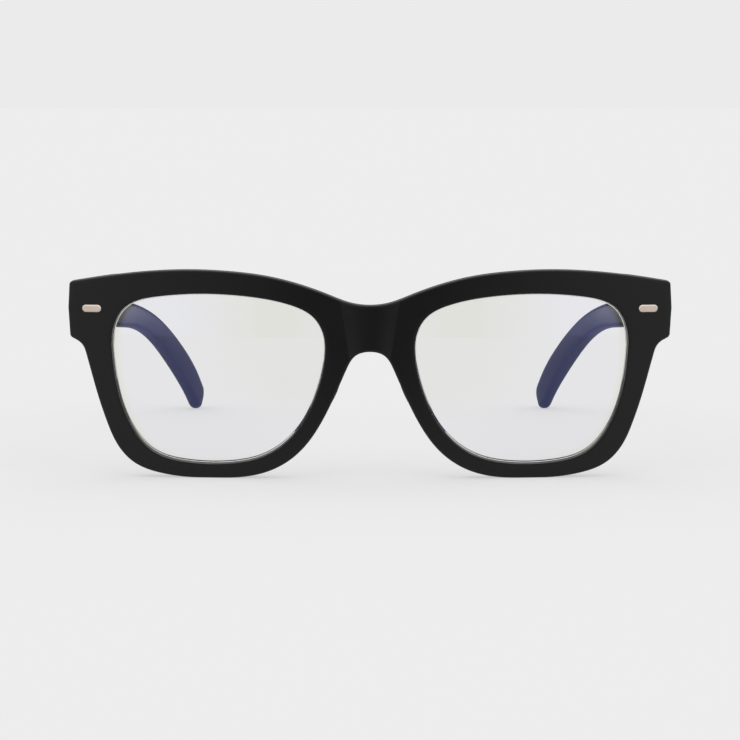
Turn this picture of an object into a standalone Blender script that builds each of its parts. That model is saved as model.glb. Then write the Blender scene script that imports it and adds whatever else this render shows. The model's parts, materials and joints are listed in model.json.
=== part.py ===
"""Blue light glasses: a thick square plastic front, clear lenses and folding temples on riveted hinges.

Lengths are in millimetres until a mesh is made, and every mesh is in metres. X points to the wearer's
left, Y from the front to the temple tips, and Z up. The glasses stand open on their rims and tips.
"""

import math

import bmesh
import bpy
import numpy as np
from mathutils import Matrix, Vector

MM = 0.001

# Front
BEND_RADIUS = 420.0  # the whole front is bent round the face on this radius
FRONT_THICKNESS = 4.4
OUTER_ROUND = 0.55  # rounding of the front's outer edges
INNER_ROUND = 0.3  # rounding of the edges round each lens
BUTT_Y = 10.4  # flat back of the end pieces, where the temples butt
BLOCK_X = (59.5, 62.0)  # the end pieces thicken to that flat between these distances from the middle
BLOCK_Z = (30.5, 33.0)  # and between these heights
BRIDGE_TOP = 41.1
BRIDGE_BOTTOM = 30.1
SCOOP_DEPTH = 0.65  # shallow hollow down the face of the bridge
SCOOP_HALF_TOP = 6.9
SCOOP_HALF_BOTTOM = 5.1
SCOOP_REACH = 4.0  # the hollow fades out this far under the bridge
FOOT_INNER = 35.5  # each rim stands on a flat between these two distances from the middle
FOOT_OUTER = 40.5

TOP_EDGE = [
    (0, BRIDGE_TOP), (4.7, 41.7), (9.6, 43.5), (16.6, 46.0), (24, 47.85), (33, 49.0),
    (43, 49.4), (55, 48.75), (64.5, 47.55), (71.4, 46.45),
]
END_SIDE_MIDDLE = (71.75, 40.3)
END_BOTTOM_CORNER = (71.35, 33.35)
STEP_CORNER = (68.3, 31.75)
TOP_CORNER_RADIUS = 0.9
BOTTOM_CORNER_RADIUS = 1.1
STEP_RADIUS = 1.6
OUTER_RIM = [
    (67.55, 29.3), (66.5, 25.4), (64.9, 19.6), (62.7, 13.0), (60.1, 7.4), (56.2, 3.35), (50, 1.0),
    (FOOT_OUTER, 0),
]
NASAL_EDGE = [
    (FOOT_INNER, 0), (28.4, 0.5), (22.5, 2.3), (16.6, 6.4), (11.7, 13.0), (8.2, 20.0), (5.6, 25.9),
    (3.4, 29.2), (0, BRIDGE_BOTTOM),
]
APERTURE = [
    (10.85, 29.2), (10.95, 33.2), (13.2, 37.9), (19, 41.1), (28, 42.95), (39, 43.65), (50, 42.95),
    (58.3, 40.0), (60.9, 34.6), (61.0, 29.2), (59.9, 21.0), (56.9, 12.6), (51.3, 6.2), (43, 3.85),
    (34, 3.65), (25, 5.6), (17.6, 11.3), (12.6, 21.0),
]

# Lenses
LENS_CENTRE = (36.0, 24.0)
LENS_RADIUS = 200.0  # extra curve of the lens on top of the front's own bend
LENS_THICKNESS = 1.8
LENS_SET_BACK = 0.5
GROOVE_DEPTH = 0.75
GROOVE_HALF_WIDTH = 0.7
LENS_CLEARANCE = 0.06

# How finely the outlines are divided
TOP_STATIONS = 24
CENTRE_STATIONS = 6
RIM_STATIONS = 20
NASAL_STATIONS = 24
CORNER_STEPS = 3
LENS_RINGS = 4
LENS_STATIONS = 42
TEMPLE_STATIONS = 26
TIP_STATIONS = 5
WIRE_STATIONS = 22
PATH_POINTS = 400

# Hinges
TILT = math.radians(6.0)  # the temples slope down by this much, and the hinge axes lean with them
PIVOT = (65.4, 12.35, 40.4)
KNUCKLE_RADIUS = 1.45
KNUCKLE_PITCH = 1.45
KNUCKLE_GAP = 0.06
WEB_OVERLAP = 0.6  # how far each knuckle's web runs into its leaf
FRONT_WEB_HALF = 1.3
TEMPLE_WEB_REACH = 1.38
WEB_INSET = 0.1  # the web of a temple knuckle keeps this far from the end of its leaf
KNUCKLES = 5
BORE_RADIUS = 0.7
SCREW_RADIUS = 0.6
SCREW_HEAD_RADIUS = 1.2
SCREW_HEAD_HEIGHT = 0.55
SCREW_CROWN_RADIUS = 0.9
SCREW_RIM_HEIGHT = 0.3
SLOT_HALF_WIDTH = 0.15
SLOT_DEPTH = 0.28
LEAF_THICKNESS = 1.1
LEAF_HALF_HEIGHT = 4.0
FRONT_LEAF_INNER = 62.7
FRONT_LEAF_OUTER = 68.5
TEMPLE_LEAF_START = 11.4
TEMPLE_LEAF_END = 21.4
FIT = 0.05  # clearance between pieces that are set into each other
CUT_REACH = 3.0  # cutters run this far past the faces that they cut

# Rivets
PLAQUE_PLACE = (66.0, 40.15)
PLAQUE_LENGTH = 4.5
PLAQUE_HEIGHT = 1.7
PLAQUE_THICKNESS = 0.5
PLAQUE_BEVEL = 0.22
PIN_SHORT = 0.15  # the pins end this far inside the back of the leaf
PIN_SPACING = 2.6
PIN_RADIUS = 0.45
TEMPLE_RIVETS = (15.6, 19.4)  # places along the temple
RIVET_HEAD_RADIUS = 0.95
RIVET_HEAD_HEIGHT = 0.4
RIVET_CROWN_RADIUS = 0.66
RIVET_RIM_DROP = 0.16
RIVET_PROUD = 0.1  # the heads stand this proud of the temple's outer face
RIVET_END_PROUD = 0.02

# Temples: middle line, full height and full thickness, from the butt to the tip
TEMPLE_START = BUTT_Y + 0.1
TEMPLE_LINE = [
    (69.3, TEMPLE_START, 40.75), (69.0, 30, 38.6), (67.8, 58, 35.4), (65.8, 84, 32.1), (63.3, 103, 29.2),
    (60.2, 115, 25.0), (56.0, 126, 17.5), (52.0, 136, 8.35), (50.0, 143.6, 1.25),
]
TEMPLE_HEIGHT = [11.3, 10.3, 8.6, 7.0, 6.7, 7.2, 7.9, 8.1, 8.0]
TEMPLE_THICKNESS = [4.1, 4.0, 3.7, 3.4, 3.3, 3.3, 3.3, 3.3, 3.3]
TEMPLE_INNER = TEMPLE_LINE[0][0] - TEMPLE_THICKNESS[0] / 2
TEMPLE_OUTER = TEMPLE_LINE[0][0] + TEMPLE_THICKNESS[0] / 2
TEMPLE_CORNER = 1.1  # rounding of the long edges at the hinge, which grows to the tip
TIP_CORNER = 1.6
TIP_ROUND = 4.1
WIRE_RADIUS = 0.6
WIRE_START = 0.5  # places along the temple
WIRE_RISE = (12, 45)  # the wire climbs to the middle line between these places
WIRE_SHORT = 7.0  # the wire ends this far before the tip
WIRE_DROP = 3.0  # the core wire passes this far under the rivets
CHANNEL_RADIUS = 0.78
CHANNEL_PAST_END = 0.6

# Nose pads
PAD_PLACE = (10.1, 20.3)
PAD_HALF = (2.1, 4.0, 7.0)
PAD_LEAN = math.radians(25)

MIDDLE_DEPTH = 72.2  # half way from the foremost point of the front to the temple tips
SIDES = ((1, "left"), (-1, "right"))


def clear_scene():
    for obj in list(bpy.data.objects):
        bpy.data.objects.remove(obj, do_unlink=True)


def collection(name):
    made = bpy.data.collections.new(name)
    bpy.context.scene.collection.children.link(made)
    return made


def material(name, colour, roughness, metallic=0.0, transmission=0.0):
    made = bpy.data.materials.new(name)
    made.use_nodes = True
    shader = made.node_tree.nodes["Principled BSDF"]
    shader.inputs["Base Color"].default_value = (*colour, 1)
    shader.inputs["Roughness"].default_value = roughness
    shader.inputs["Metallic"].default_value = metallic
    shader.inputs["Transmission Weight"].default_value = transmission
    made.diffuse_color = (*colour, 1)
    return made


def add_object(name, mesh, group, look=None):
    obj = bpy.data.objects.new(name, mesh)
    group.objects.link(obj)
    if look:
        mesh.materials.append(look)
        mesh.shade_smooth()
        mesh.set_sharp_from_angle(angle=math.radians(35))
    else:
        obj.hide_render = True
        obj.display_type = "WIRE"
    return obj


def mesh_from(name, vertices, faces):
    """A mesh in metres from points in millimetres, with its faces turned outwards."""
    mesh = bpy.data.meshes.new(name)
    mesh.from_pydata([Vector(v) * MM for v in vertices], [], faces)
    shape = bmesh.new()
    shape.from_mesh(mesh)
    bmesh.ops.recalc_face_normals(shape, faces=shape.faces)
    shape.to_mesh(mesh)
    shape.free()
    return mesh


def spline(points, closed=False, start=None, end=None):
    """Knots, and a function of them, for the smooth cubic through the points."""
    through = np.array(points, float)
    if closed:
        through = np.vstack([through, through[:1]])
    step = np.linalg.norm(np.diff(through, axis=0), axis=1)
    knots = np.concatenate([[0], np.cumsum(step)])
    rise = np.diff(through, axis=0) / step[:, None]
    count = len(through)
    system = np.zeros((count, count))
    wanted = np.zeros_like(through)
    for i in range(1, count - 1):
        system[i, i - 1 : i + 2] = step[i], 2 * (step[i - 1] + step[i]), step[i - 1]
        wanted[i] = 3 * (step[i] * rise[i - 1] + step[i - 1] * rise[i])
    if closed:
        system[0, 0], system[0, -1] = 1, -1
        system[-1, -2], system[-1, -1], system[-1, 1] = step[0], 2 * (step[-1] + step[0]), step[-1]
        wanted[-1] = 3 * (step[0] * rise[-1] + step[-1] * rise[0])
    else:
        system[0, :2] = (1, 0) if start is not None else (2, 1)
        wanted[0] = start if start is not None else 3 * rise[0]
        system[-1, -2:] = (0, 1) if end is not None else (1, 2)
        wanted[-1] = end if end is not None else 3 * rise[-1]
    slopes = np.linalg.solve(system, wanted)

    def at(places):
        places = np.atleast_1d(places)
        i = np.clip(np.searchsorted(knots, places, side="right") - 1, 0, count - 2)
        h = step[i][:, None]
        u = (places - knots[i])[:, None] / h
        return (
            (1 + 2 * u) * (1 - u) ** 2 * through[i]
            + u * (1 - u) ** 2 * h * slopes[i]
            + u**2 * (3 - 2 * u) * through[i + 1]
            + u**2 * (u - 1) * h * slopes[i + 1]
        )

    return knots, at


def along(points, count, **ends):
    """The first count of count + 1 evenly spread points on the curve through the points."""
    knots, at = spline(points, **ends)
    return at(np.linspace(0, knots[-1], count + 1)[:-1])


def fillet(before, corner, after, radius, steps):
    """Points of the arc that rounds a corner."""
    corner = np.array(corner, float)
    towards = [np.array(p, float) - corner for p in (before, after)]
    towards = [v / np.linalg.norm(v) for v in towards]
    half = math.acos(np.clip(np.dot(*towards), -1, 1)) / 2
    middle = towards[0] + towards[1]
    centre = corner + middle / np.linalg.norm(middle) * radius / math.sin(half)
    arms = [corner + v * radius / math.tan(half) - centre for v in towards]
    turn = math.pi - 2 * half
    return np.array([
        centre
        + (math.sin(turn * (1 - k / steps)) * arms[0] + math.sin(turn * k / steps) * arms[1]) / math.sin(turn)
        for k in range(steps + 1)
    ])


def front_sections():
    """The half outline in sections, each with the aperture points, counted on, that it spreads between."""
    top = along(TOP_EDGE, TOP_STATIONS, start=(1, 0))
    top_corner = fillet(TOP_EDGE[-2], TOP_EDGE[-1], END_SIDE_MIDDLE, TOP_CORNER_RADIUS, CORNER_STEPS)
    bottom_corner = fillet(
        END_SIDE_MIDDLE, END_BOTTOM_CORNER, STEP_CORNER, BOTTOM_CORNER_RADIUS, CORNER_STEPS
    )
    step = fillet(END_BOTTOM_CORNER, STEP_CORNER, OUTER_RIM[0], STEP_RADIUS, CORNER_STEPS)
    centre_line = [(0, z) for z in np.linspace(BRIDGE_BOTTOM, BRIDGE_TOP, CENTRE_STATIONS + 1)[:-1]]
    foot = [(FOOT_OUTER, 0), ((FOOT_OUTER + FOOT_INNER) / 2, 0)]
    return [
        (centre_line, 0.5, 1.5),
        (top, 1.5, 7),
        (np.vstack([top_corner, [END_SIDE_MIDDLE]]), 7, 8),
        (np.vstack([bottom_corner, step]), 8, 9),
        (np.vstack([along(OUTER_RIM, RIM_STATIONS, end=(-1, 0)), foot]), 9, 14),
        (along(NASAL_EDGE, NASAL_STATIONS, start=(-1, 0), end=(-1, 0)), 14, 18.5),
    ]


def stations():
    """Matching points of the half outline and of the lens aperture, and which lie on the middle plane."""
    knots, at = spline(APERTURE, closed=True)
    counted = np.arange(2 * len(APERTURE) + 1)
    places = np.concatenate([knots, knots[1:] + knots[-1]])
    outer, inner, middle = [], [], []
    sections = front_sections()
    for number, (points, first, last) in enumerate(sections):
        points = np.array(points, float)
        following = np.array(sections[(number + 1) % len(sections)][0][0], float)
        spans = np.linalg.norm(np.diff(np.vstack([points, following]), axis=0), axis=1)
        share = np.concatenate([[0], np.cumsum(spans)[:-1]]) / spans.sum()
        outer.extend(points)
        low, high = np.interp((first, last), counted, places)
        inner.extend(at((low + share * (high - low)) % knots[-1]))
        middle.extend([number == 0] * len(points))
    middle[0] = False
    return np.array(outer), np.array(inner), np.array(middle)


def normals(points):
    """Unit normals in the plane of a closed outline, pointing out of it."""
    tangent = np.roll(points, -1, axis=0) - np.roll(points, 1, axis=0)
    tangent /= np.linalg.norm(tangent, axis=1)[:, None]
    turned = np.column_stack([-tangent[:, 1], tangent[:, 0]])
    area = np.sum(points[:, 0] * np.roll(points[:, 1], -1) - np.roll(points[:, 0], -1) * points[:, 1])
    return -turned if area > 0 else turned


def bend(x):
    return x * x / (2 * BEND_RADIUS)


def smooth_step(low, high, value):
    u = min(max((value - low) / (high - low), 0), 1)
    return u * u * (3 - 2 * u)


def front_face(x, z):
    """Depth of the front's face: the bend, and the hollow between the two creases of the bridge."""
    share = (z - BRIDGE_BOTTOM) / (BRIDGE_TOP - BRIDGE_BOTTOM)
    half = SCOOP_HALF_BOTTOM + (SCOOP_HALF_TOP - SCOOP_HALF_BOTTOM) * share
    hollow = max(0, 1 - (x / half) ** 2) * SCOOP_DEPTH if z > BRIDGE_BOTTOM - SCOOP_REACH else 0
    return bend(x) + hollow


def back_face(x, z):
    """Depth of the front's back: the bend, thickened to a flat behind the end pieces."""
    block = smooth_step(*BLOCK_X, x) * smooth_step(*BLOCK_Z, z)
    plain = bend(x) + FRONT_THICKNESS
    return plain + (BUTT_Y - plain) * block


def lens_middle(x, z):
    reach = (x - LENS_CENTRE[0]) ** 2 + (z - LENS_CENTRE[1]) ** 2
    return bend(x) + LENS_SET_BACK + reach / (2 * LENS_RADIUS) + LENS_THICKNESS / 2


def front_rings():
    """Rings of points round one lens, in order round the cross-section of the rim."""
    outer, inner, middle = stations()
    out = normals(outer)
    out[0] = (0, -1)
    out[np.flatnonzero(middle)[-1] + 1] = (0, 1)
    out[middle] = (0, 0)
    into = normals(inner)
    rim_front = inner + into * INNER_ROUND
    edge_front = outer - out * OUTER_ROUND

    def lay(flat, depth):
        return [(x, depth(x, z), z) for x, z in flat]

    def between(share):
        return rim_front + (edge_front - rim_front) * share

    def groove(offset, shift):
        deep = inner + into * offset
        return [(x, lens_middle(u, w) + shift, z) for (x, z), (u, w) in zip(deep, inner)]

    def shifted(depth, amount):
        return lambda x, z: depth(x, z) + amount

    round_out = np.where(middle, 0.0, OUTER_ROUND)
    front_wall = [(x, front_face(x, z) + r, z) for (x, z), r in zip(outer, round_out)]
    back_wall = [(x, back_face(x, z) - r, z) for (x, z), r in zip(outer, round_out)]
    return [
        lay(inner, shifted(front_face, INNER_ROUND)),
        lay(rim_front, front_face),
        lay(between(1 / 3), front_face),
        lay(between(2 / 3), front_face),
        lay(edge_front, front_face),
        front_wall,
        back_wall,
        lay(edge_front, back_face),
        lay(between(2 / 3), back_face),
        lay(between(1 / 3), back_face),
        lay(rim_front, back_face),
        lay(inner, shifted(back_face, -INNER_ROUND)),
        groove(0, GROOVE_HALF_WIDTH),
        groove(GROOVE_DEPTH, 0),
        groove(0, -GROOVE_HALF_WIDTH),
    ], middle


def front_frame(group, look):
    """Rims, bridge and end pieces in one: one half lofted round its lens, and mirrored."""
    rings, middle = front_rings()
    count = len(rings[0])
    vertices = [point for ring in rings for point in ring]
    wall = (4, 5, 6)  # the rings whose faces would lie in the middle plane
    faces = []
    for r in range(len(rings)):
        following = (r + 1) % len(rings)
        for k in range(count):
            n = (k + 1) % count
            if r in wall and (middle[k] or middle[n]):
                continue
            faces.append((r * count + k, r * count + n, following * count + n, following * count + k))
    mesh = mesh_from("front_frame", vertices, faces)
    shape = bmesh.new()
    shape.from_mesh(mesh)
    bmesh.ops.remove_doubles(shape, verts=shape.verts, dist=1e-6)
    loose = [v for v in shape.verts if not v.link_faces]
    bmesh.ops.delete(shape, geom=loose, context="VERTS")
    shape.to_mesh(mesh)
    shape.free()
    obj = add_object("front_frame", mesh, group, look)
    mirror = obj.modifiers.new("other half", "MIRROR")
    mirror.merge_threshold = 0.00001
    return obj


def cut(obj, cutter):
    boolean = obj.modifiers.new("cut " + cutter.name, "BOOLEAN")
    boolean.operation = "DIFFERENCE"
    boolean.solver = "EXACT"
    boolean.object = cutter


def join(obj, other):
    boolean = obj.modifiers.new("join " + other.name, "BOOLEAN")
    boolean.operation = "UNION"
    boolean.solver = "EXACT"
    boolean.object = other


def box(name, low, high, group, look=None):
    mesh = bpy.data.meshes.new(name)
    shape = bmesh.new()
    bmesh.ops.create_cube(shape, size=1)
    low, high = Vector(low) * MM, Vector(high) * MM
    for v in shape.verts:
        v.co = Vector(((low + high) / 2)[i] + v.co[i] * abs(high[i] - low[i]) for i in range(3))
    shape.to_mesh(mesh)
    shape.free()
    return add_object(name, mesh, group, look)


def rod(name, start, end, radius, sides, group, look=None):
    """A cylinder between two points."""
    start, end = Vector(start), Vector(end)
    mesh = bpy.data.meshes.new(name)
    shape = bmesh.new()
    length = (end - start).length * MM
    bmesh.ops.create_cone(
        shape, cap_ends=True, segments=sides, radius1=radius * MM, radius2=radius * MM, depth=length
    )
    turn = Vector((0, 0, 1)).rotation_difference(end - start).to_matrix().to_4x4()
    shape.transform(Matrix.Translation((start + end) / 2 * MM) @ turn)
    shape.to_mesh(mesh)
    shape.free()
    return add_object(name, mesh, group, look)


def turned(name, profile, place, turn, sides, group, look=None):
    """A turned piece from its outer profile, top to bottom, as (radius, height) pairs."""
    mesh = bpy.data.meshes.new(name)
    edges = [(k, k + 1) for k in range(len(profile) - 1)]
    mesh.from_pydata([Vector((r, 0, h)) * MM for r, h in profile], edges, [])
    obj = add_object(name, mesh, group, look)
    screw = obj.modifiers.new("turn", "SCREW")
    screw.steps = sides
    screw.render_steps = sides
    screw.use_merge_vertices = True
    screw.merge_threshold = 0.00001
    screw.use_smooth_shade = True
    obj.matrix_world = Matrix.Translation(Vector(place) * MM) @ turn.to_4x4()
    return obj


def loft(name, sections, group, look=None):
    """A closed solid through a row of like sections, with flat ends."""
    size = len(sections[0])
    vertices = [point for section in sections for point in section]
    faces = [tuple(range(size)), tuple(range(len(vertices) - size, len(vertices)))]
    for s in range(len(sections) - 1):
        for k in range(size):
            n = (k + 1) % size
            faces.append((s * size + k, s * size + n, (s + 1) * size + n, (s + 1) * size + k))
    return add_object(name, mesh_from(name, vertices, faces), group, look)


def lens(side, label, group, look):
    """A curved lens with a bevelled edge that sits in the groove of its rim."""
    knots, at = spline(APERTURE, closed=True)
    aperture = at(np.linspace(0, knots[-1], LENS_STATIONS + 1)[:-1])
    into = normals(aperture)
    rim = aperture - into * LENS_CLEARANCE
    apex = aperture + into * (GROOVE_DEPTH - 2 * LENS_CLEARANCE)
    bevel = GROOVE_HALF_WIDTH - 2 * LENS_CLEARANCE
    centre = np.array(LENS_CENTRE)
    sheet = [centre + (rim - centre) * (k / LENS_RINGS) for k in range(1, LENS_RINGS + 1)]
    half = LENS_THICKNESS / 2
    rings = [[(x, lens_middle(x, z) - half, z) for x, z in flat] for flat in sheet]
    rings.append([(x, lens_middle(x, z) - bevel, z) for x, z in rim])
    rings.append([(x, lens_middle(u, w), z) for (x, z), (u, w) in zip(apex, rim)])
    rings.append([(x, lens_middle(x, z) + bevel, z) for x, z in rim])
    rings += [[(x, lens_middle(x, z) + half, z) for x, z in flat] for flat in reversed(sheet)]
    count = len(aperture)
    vertices = [(side * x, y, z) for ring in rings for x, y, z in ring]
    faces = []
    for r in range(len(rings) - 1):
        for k in range(count):
            n = (k + 1) % count
            faces.append((r * count + k, r * count + n, (r + 1) * count + n, (r + 1) * count + k))
    for first, shift in ((0, -half), (len(rings) - 1, half)):
        hub = len(vertices)
        vertices.append((side * centre[0], lens_middle(*centre) + shift, centre[1]))
        faces += [(first * count + k, first * count + (k + 1) % count, hub) for k in range(count)]
    return add_object(label + "_lens", mesh_from(label + "_lens", vertices, faces), group, look)


def plaque_frame(side):
    """The place of a plaque on the face of the end piece, and the turn that lays it there."""
    x, z = PLAQUE_PLACE
    slope = math.atan(x / BEND_RADIUS)
    place = Vector((side * x, bend(x), z))
    return place, Matrix.Rotation(side * slope, 3, "Z")


def pin_ends(side, start, end):
    """Start and end of each pin of a plaque, at two depths measured along the pins."""
    place, turn = plaque_frame(side)
    for shift in (-PIN_SPACING / 2, PIN_SPACING / 2):
        yield place + turn @ Vector((shift, start, 0)), place + turn @ Vector((shift, end, 0))


def front_plaque(side, label, group, cutters, look):
    """A long rounded rivet head on the end piece, with two pins that reach the hinge leaf."""
    place, turn = plaque_frame(side)
    name = label + "_front_plaque"
    radius = PLAQUE_HEIGHT / 2
    straight = PLAQUE_LENGTH / 2 - radius
    steps = 8

    def pill(shrink, depth):
        points = []
        for end in (1, -1):
            for k in range(steps + 1):
                angle = -math.pi / 2 + math.pi * k / steps
                across = end * (straight + (radius - shrink) * math.cos(angle))
                points.append((across, depth, end * (radius - shrink) * math.sin(angle)))
        return [place + turn @ Vector(p) for p in points]

    rim = PLAQUE_THICKNESS - PLAQUE_BEVEL
    obj = loft(name, [pill(0, -FIT), pill(0, -rim), pill(PLAQUE_BEVEL, -PLAQUE_THICKNESS)], group, look)
    reach = BUTT_Y - bend(PLAQUE_PLACE[0]) - PIN_SHORT
    for number, (start, end) in enumerate(pin_ends(side, -PLAQUE_THICKNESS / 2, reach)):
        join(obj, rod(f"{name}_pin_{number}", start, end, PIN_RADIUS, 10, cutters))
    return obj


def hinge_turn():
    """Local axes of a hinge: Z along its pin, Y along the open temple."""
    return Matrix.Rotation(-TILT, 3, "X")


def hinge_point(side, x, y, z):
    """A point given from the pivot, in the leaning axes of the hinge; x grows outwards."""
    pivot = Vector((side * PIVOT[0], PIVOT[1], PIVOT[2]))
    return pivot + hinge_turn() @ Vector((side * x, y, z))


def knuckle(name, side, angle, foot, low, high, cutters):
    """A barrel round the hinge pin with a web; the foot's points are given as if the web ran along X."""
    steps = 12
    rim = [math.pi * (0.5 + k / steps) for k in range(steps + 1)]
    outline = [(KNUCKLE_RADIUS * math.cos(a), KNUCKLE_RADIUS * math.sin(a)) for a in rim] + foot
    turn = Matrix.Rotation(angle, 2)
    outline = [turn @ Vector(point) for point in outline]
    sections = [[hinge_point(side, x, y, z) for x, y in outline] for z in (low, high)]
    return loft(name, sections, cutters)


def knuckle_spans(first):
    """Low and high end of every other knuckle along the pin, from the first one."""
    bottom = -KNUCKLES * KNUCKLE_PITCH / 2
    for k in range(first, KNUCKLES, 2):
        yield bottom + k * KNUCKLE_PITCH + KNUCKLE_GAP / 2, bottom + (k + 1) * KNUCKLE_PITCH - KNUCKLE_GAP / 2


def pin_bore(name, side, cutters):
    reach = KNUCKLES * KNUCKLE_PITCH
    low, high = hinge_point(side, 0, 0, -reach), hinge_point(side, 0, 0, reach)
    return rod(name, low, high, BORE_RADIUS, 16, cutters)


def front_leaf(side, label, group, cutters, look):
    """Leaf set into the back of the end piece, with three knuckles."""
    name = label + "_front_hinge_leaf"
    z = PIVOT[2]
    obj = box(
        name,
        (side * FRONT_LEAF_INNER, BUTT_Y - LEAF_THICKNESS, z - LEAF_HALF_HEIGHT),
        (side * FRONT_LEAF_OUTER, BUTT_Y, z + LEAF_HALF_HEIGHT),
        group, look,
    )
    reach = PIVOT[1] - BUTT_Y + WEB_OVERLAP
    foot = [(reach, -FRONT_WEB_HALF), (reach, FRONT_WEB_HALF)]
    for number, (low, high) in enumerate(knuckle_spans(0)):
        join(obj, knuckle(f"{name}_knuckle_{number}", side, -math.pi / 2, foot, low, high, cutters))
    cut(obj, pin_bore(name + "_bore", side, cutters))
    for number, (start, end) in enumerate(pin_ends(side, -CUT_REACH, BUTT_Y)):
        cut(obj, rod(f"{name}_rivet_hole_{number}", start, end, PIN_RADIUS + FIT, 10, cutters))
    return obj


def seat_front_hinge(frame, side, label, cutters):
    """Cuts the pocket of the leaf, and the holes of the plaque's pins, into the front."""
    reach = LEAF_HALF_HEIGHT + FIT
    pocket = box(
        label + "_leaf_pocket",
        (side * (FRONT_LEAF_INNER - FIT), BUTT_Y - LEAF_THICKNESS - FIT, PIVOT[2] - reach),
        (side * (FRONT_LEAF_OUTER + FIT), BUTT_Y + CUT_REACH, PIVOT[2] + reach),
        cutters,
    )
    cut(frame, pocket)
    for number, (start, end) in enumerate(pin_ends(side, -CUT_REACH, BUTT_Y)):
        cut(frame, rod(f"{label}_pin_hole_{number}", start, end, PIN_RADIUS + FIT, 10, cutters))


def temple_leaf(side, label, group, cutters, look):
    """Leaf set into the inner face of the temple, with two knuckles."""
    name = label + "_temple_hinge_leaf"
    inner = TEMPLE_INNER - PIVOT[0]
    start, end = TEMPLE_LEAF_START - PIVOT[1], TEMPLE_LEAF_END - PIVOT[1]
    corners = [(inner, start), (inner + LEAF_THICKNESS, start), (inner + LEAF_THICKNESS, end), (inner, end)]
    heights = (-LEAF_HALF_HEIGHT, LEAF_HALF_HEIGHT)
    obj = loft(name, [[hinge_point(side, x, y, z) for x, y in corners] for z in heights], group, look)
    near = start + WEB_INSET
    deep = inner + WEB_OVERLAP
    foot = [(inner - WEB_INSET, near), (deep, near), (deep, TEMPLE_WEB_REACH)]
    for number, (low, high) in enumerate(knuckle_spans(1)):
        join(obj, knuckle(f"{name}_knuckle_{number}", side, 0, foot, low, high, cutters))
    cut(obj, pin_bore(name + "_bore", side, cutters))
    for number, (a, b) in enumerate(rivet_lines(side)):
        cut(obj, rod(f"{name}_rivet_hole_{number}", a, b, PIN_RADIUS + FIT, 10, cutters))
    return obj


def hinge_screw(side, label, group, cutters, look):
    """The pin of the hinge: a slotted screw from above."""
    name = label + "_hinge_screw"
    top = KNUCKLES * KNUCKLE_PITCH / 2 + FIT
    low = -KNUCKLES * KNUCKLE_PITCH / 2
    crown = top + SCREW_HEAD_HEIGHT
    profile = [
        (0, crown), (SCREW_CROWN_RADIUS, crown), (SCREW_HEAD_RADIUS, top + SCREW_RIM_HEIGHT),
        (SCREW_HEAD_RADIUS, top), (SCREW_RADIUS, top), (SCREW_RADIUS, low), (0, low),
    ]
    obj = turned(name, profile, hinge_point(side, 0, 0, 0), hinge_turn(), 14, group, look)
    slot = [
        (-CUT_REACH, -SLOT_HALF_WIDTH), (CUT_REACH, -SLOT_HALF_WIDTH),
        (CUT_REACH, SLOT_HALF_WIDTH), (-CUT_REACH, SLOT_HALF_WIDTH),
    ]
    heights = (crown - SLOT_DEPTH, crown + CUT_REACH)
    sections = [[hinge_point(side, x, y, z) for x, y in slot] for z in heights]
    cut(obj, loft(name + "_slot", sections, cutters))
    return obj


def temple_path():
    """Places along a temple, and the middle line, height and thickness at each."""
    rows = [(*p, h, t) for p, h, t in zip(TEMPLE_LINE, TEMPLE_HEIGHT, TEMPLE_THICKNESS)]
    knots, at = spline(rows)
    points = at(np.linspace(0, knots[-1], PATH_POINTS))
    steps = np.linalg.norm(np.diff(points[:, :3], axis=0), axis=1)
    return np.concatenate([[0], np.cumsum(steps)]), points


def temple_frame(walked, points, place):
    """Point, tangent, sideways, upward, height and thickness of the temple at a place along it."""
    def at(where):
        where = min(max(where, 0), walked[-1])
        return [float(np.interp(where, walked, points[:, i])) for i in range(5)]

    here = at(place)
    tangent = (Vector(at(place + 0.5)[:3]) - Vector(at(place - 0.5)[:3])).normalized()
    sideways = tangent.cross(Vector((0, 0, 1))).normalized()
    return Vector(here[:3]), tangent, sideways, sideways.cross(tangent), here[3], here[4]


def rounded_section(width, height, corner):
    """A rectangle with round corners, as points round its middle."""
    steps = 2
    corner = min(corner, width * 0.48, height * 0.48)
    points = []
    for sx, sz, first in ((1, 1, 0), (-1, 1, 1), (-1, -1, 2), (1, -1, 3)):
        for k in range(steps + 1):
            angle = math.pi / 2 * (first + k / steps)
            points.append((
                sx * (width / 2 - corner) + corner * math.cos(angle),
                sz * (height / 2 - corner) + corner * math.sin(angle),
            ))
    return points


def temple_rows(end):
    """Places of the sections along a temple, each with how much the round of the tip draws it in."""
    rows = [(place, 1.0) for place in np.linspace(0, end - TIP_ROUND, TEMPLE_STATIONS)]
    for angle in np.linspace(0, math.radians(84), TIP_STATIONS + 1)[1:]:
        rows.append((end - TIP_ROUND * (1 - math.sin(angle)), math.cos(angle)))
    return rows


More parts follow.
